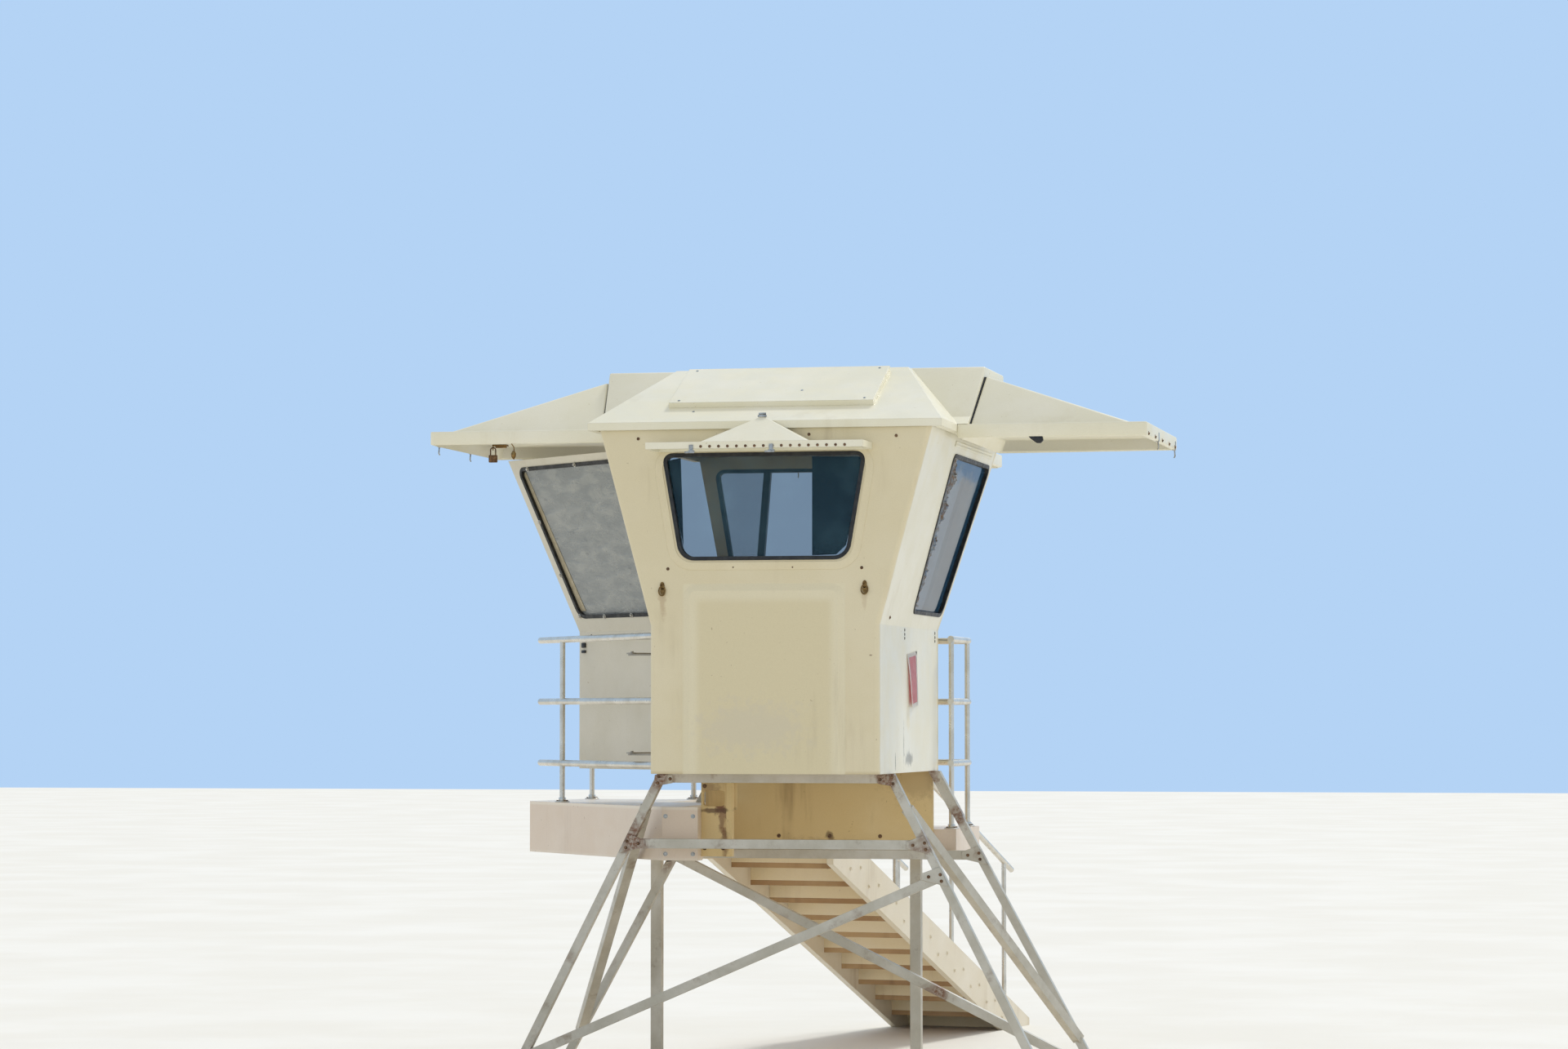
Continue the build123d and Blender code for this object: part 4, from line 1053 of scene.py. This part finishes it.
# Tan strip that shows between the film and the gasket on the door window's free side
jamb = Shape().hull([on_door(ahead, z, proud) for ahead, z in (
    (2.010, 3.385), (1.955, 3.385), (1.650, 2.595), (1.705, 2.595)) for proud in (-0.0135, -0.0150)])
jamb.done("film_edge_strip", tan_strip, "door", "film_glass")
# Dark discs for empty holes in the door: painted shade inside them
door_holes = [(on_door(ahead, z, 0.0005), outward) for z in (2.455, 2.432) for ahead in (0.86, 1.62)]
fasten("door_holes", door_holes, hole_shade, "door", "window_rubber", height=0.0012, washer=0.008)

# Railing, deck and stair fittings


def post_feet():
    """Centre of every railing post where it meets the deck or the landing."""
    spots = [v.co for v in bpy.data.objects["rail_posts"].data.vertices]
    reach = 0.06
    feet = []
    for spot in spots:
        floor = landing_top if spot.x > -0.3 else deck_top
        if abs(spot.z - floor) < 0.004 and not any((spot.xy - seen).length < reach for seen, z in feet):
            feet.append((spot.xy.copy(), floor))
    for seen, floor in feet:
        near = [p.xy for p in spots if abs(p.z - floor) < 0.004 and (p.xy - seen).length < reach]
        xs = [p.x for p in near]
        ys = [p.y for p in near]
        yield (min(xs) + max(xs)) / 2, (min(ys) + max(ys)) / 2, floor


def post_collars():
    """Welded collar and round base plate under every railing post."""
    whole = Shape()
    bolts = []
    for x, y, floor in post_feet():
        whole.add(Shape().tube([(x, y, floor), (x, y, floor + 0.006)], 0.042, 24).soften(0.002, 1))
        whole.add(Shape().tube([(x, y, floor + 0.004), (x, y, floor + 0.026)], 0.021, 20).soften(0.003, 2))
        for k in range(4):
            a = math.pi / 4 + k * math.pi / 2
            bolts.append(((x + 0.031 * math.cos(a), y + 0.031 * math.sin(a), floor + 0.006), to_sky))
    whole.done("post_collars", slot="rail_tube")
    fasten("collar_bolts", bolts, rusty_steel, height=0.005, washer=0.008, **hex_head)


post_collars()

steps = 12
rise = landing_top / steps
going = 0.290
stair_across = on_stair(1, 0, 0) - on_stair(0, 0, 0)
tread_lines = [(on_stair(0, (step - 1) * going + 0.075 + 0.048 * k, landing_top - step * rise + 0.0005),
                stair_across) for step in range(1, steps) for k in range(5)]
ribs_mesh = ribs.run(point_cloud(tread_lines), "tread_ribs", rib_length=0.600, rib_radius=0.0045,
                     finish=grit)
place_mesh(ribs_mesh, "tread_ribs", None, "tower", "deck_shell")

stringer_face = 0.690 / 2 + 0.038
stringer_bolts = [(on_stair(side * stringer_face, (step - 1) * going + along,
                            landing_top - step * rise - 0.030), side * stair_across)
                  for side in (-1, 1) for step in range(1, steps) for along in (0.05, 0.21)]
fasten("stringer_bolts", stringer_bolts, stringer_gelcoat, "tower", "deck_shell", head=0.009, height=0.007,
       washer=0.013, **hex_head)

panel_bolts = [(at(x, panel_face, 1.335), to_rear) for x in (-0.276, 0.014, 0.300)]
panel_bolts += [(at(x, trunk_face, z), to_rear) for x, z in ((-0.425, 1.63), (-0.425, 1.30), (-0.325, 1.30))]
fasten("panel_bolts", panel_bolts, rusty_steel, head=0.007, height=0.006, washer=0.011, **hex_head)
deck_bolts = [(at(x, 0.385, z), to_rear) for x in (-0.62, -0.47) for z in (1.27, 1.47)]
fasten("deck_bolts", deck_bolts, steel, head=0.008, height=0.006, washer=0.012, **hex_head)

liner = Shape().box(at(-0.462, 0.640, 1.500), at(-0.290, 0.652, cab_bottom))
liner.soften(0.003, 2).done("trunk_liner", slot="panel")

# Frame fittings: how far each leg runs outwards for every metre down, and how far ahead it stands
leg_splay = {"rear": 0.507, "front": 0.545}
leg_ahead = {"rear": 0.295, "front": 1.615}


def leg_spot(side, end, z):
    """Sideways and ahead places of a leg's centre line at a height."""
    return side * (0.612 + leg_splay[end] * (cab_bottom - z)), leg_ahead[end]


def gussets():
    """Flat plates over the joints between beams, braces and legs, with their bolts."""
    whole = Shape()
    bolts = []
    for end, z, sides in (("rear", 1.328, (-1, 1)), ("rear", 1.670, (-1, 1)), ("front", 1.235, (-1, 1)),
                          ("rear", 1.164, (1,)), ("front", 1.225, (-1,))):
        face = leg_ahead[end] - 0.025
        for side in sides:
            x, y = leg_spot(side, end, z)
            lean = leg_splay[end] * 0.052
            corners = ((0.020 - lean, 0.052), (-0.098, 0.018), (-0.098, -0.018), (lean + 0.018, -0.052))
            if z > 1.6:
                corners = ((0.022, 0.022), (-0.075, 0.022), (-0.075, -0.022), (0.030, -0.040))
            whole.add(Shape().hull([at(x + side * out, face - d, z + up) for out, up in corners
                                    for d in (-0.001, 0.005)]).soften(0.0015, 1))
            bolts += [(at(x + side * out, face - 0.005, z + up), to_rear) for out, up in (
                (0.0, 0.012), (-0.062, 0.0), (0.006, -0.022))]
    whole.done("joint_plates", slot="aluminium")
    fasten("joint_bolts", bolts, rusty_steel, head=0.0065, height=0.006, **hex_head)


gussets()

plate_top = 0.012
plate_centres = [leg_spot(side, end, plate_top) for side in (-1, 1) for end in ("rear", "front")]
plate_centres += [(-1.040, 1.900), (0.456, 1.900)]
anchors = [(at(x + dx, y + dy, plate_top), to_sky) for x, y in plate_centres
           for dx in (-0.075, 0.075) for dy in (-0.075, 0.075)]
fasten("anchor_bolts", anchors, rusty_steel, head=0.012, height=0.012, washer=0.020, **hex_head)

# Camera, floor and light
photo_width = 1920
focal_pixels = 5170
sensor = 36.0
camera_data = bpy.data.cameras.new("camera")
camera_data.sensor_width = sensor
camera_data.lens = focal_pixels / photo_width * sensor
camera_data.clip_end = 400
camera = added("camera", camera_data)
camera.location = (4.75, -24.316, 1.99)
camera.rotation_euler = (math.radians(90 + 2.63), 0.0, math.radians(12.2))
bpy.context.scene.camera = camera

floor_finish = Finish("pale floor")
floor_finish.colour(floor_finish.mix(
    floor_finish.ramp(floor_finish.noise(0.6, 4), 0.35, 0.7), (236, 233, 224), (241, 239, 232)))
floor_finish.roughness(floor_finish.ramp(floor_finish.noise(4, 3), 0.3, 0.7, 0.8, 0.95))
floor_mesh = bpy.data.meshes.new("floor")
floor_mesh.from_pydata([(-90, -90, 0), (90, -90, 0), (90, 90, 0), (-90, 90, 0)], [], [(0, 1, 2, 3)])
floor_mesh.materials.append(floor_finish.material)
floor = added("floor", floor_mesh)

world = bpy.data.worlds.new("studio")
bpy.context.scene.world = world
world.use_nodes = True
sky = Nodes(world.node_tree)
glow = sky.tree.nodes["Background"]
glow.inputs["Color"].default_value = (0.95, 0.97, 1.0, 1.0)
glow.inputs["Strength"].default_value = 0.72
backdrop = sky.node("ShaderNodeBackground", {"Color": (180, 211, 245), "Strength": 1.0})
path = sky.node("ShaderNodeLightPath")
seen = path.outputs["Is Camera Ray"]
for ray in ("Is Transmission Ray", "Is Glossy Ray"):
    seen = sky.math("MAXIMUM", seen, path.outputs[ray])
blend = sky.node("ShaderNodeMixShader", {"Fac": seen, 1: glow.outputs[0], 2: backdrop.outputs[0]})
sky.feed(sky.tree.nodes["World Output"].inputs["Surface"], blend.outputs[0])

sun_data = bpy.data.lights.new("key", "SUN")
sun_data.energy = 1.6
sun_data.angle = math.radians(10)
sun_data.color = (1.0, 0.985, 0.95)
sun_travel = Vector((-0.24, -0.60, -0.76))
sun = added("key", sun_data)
sun.rotation_euler = sun_travel.to_track_quat("-Z", "Y").to_euler()

bpy.context.scene.view_settings.view_transform = "Standard"
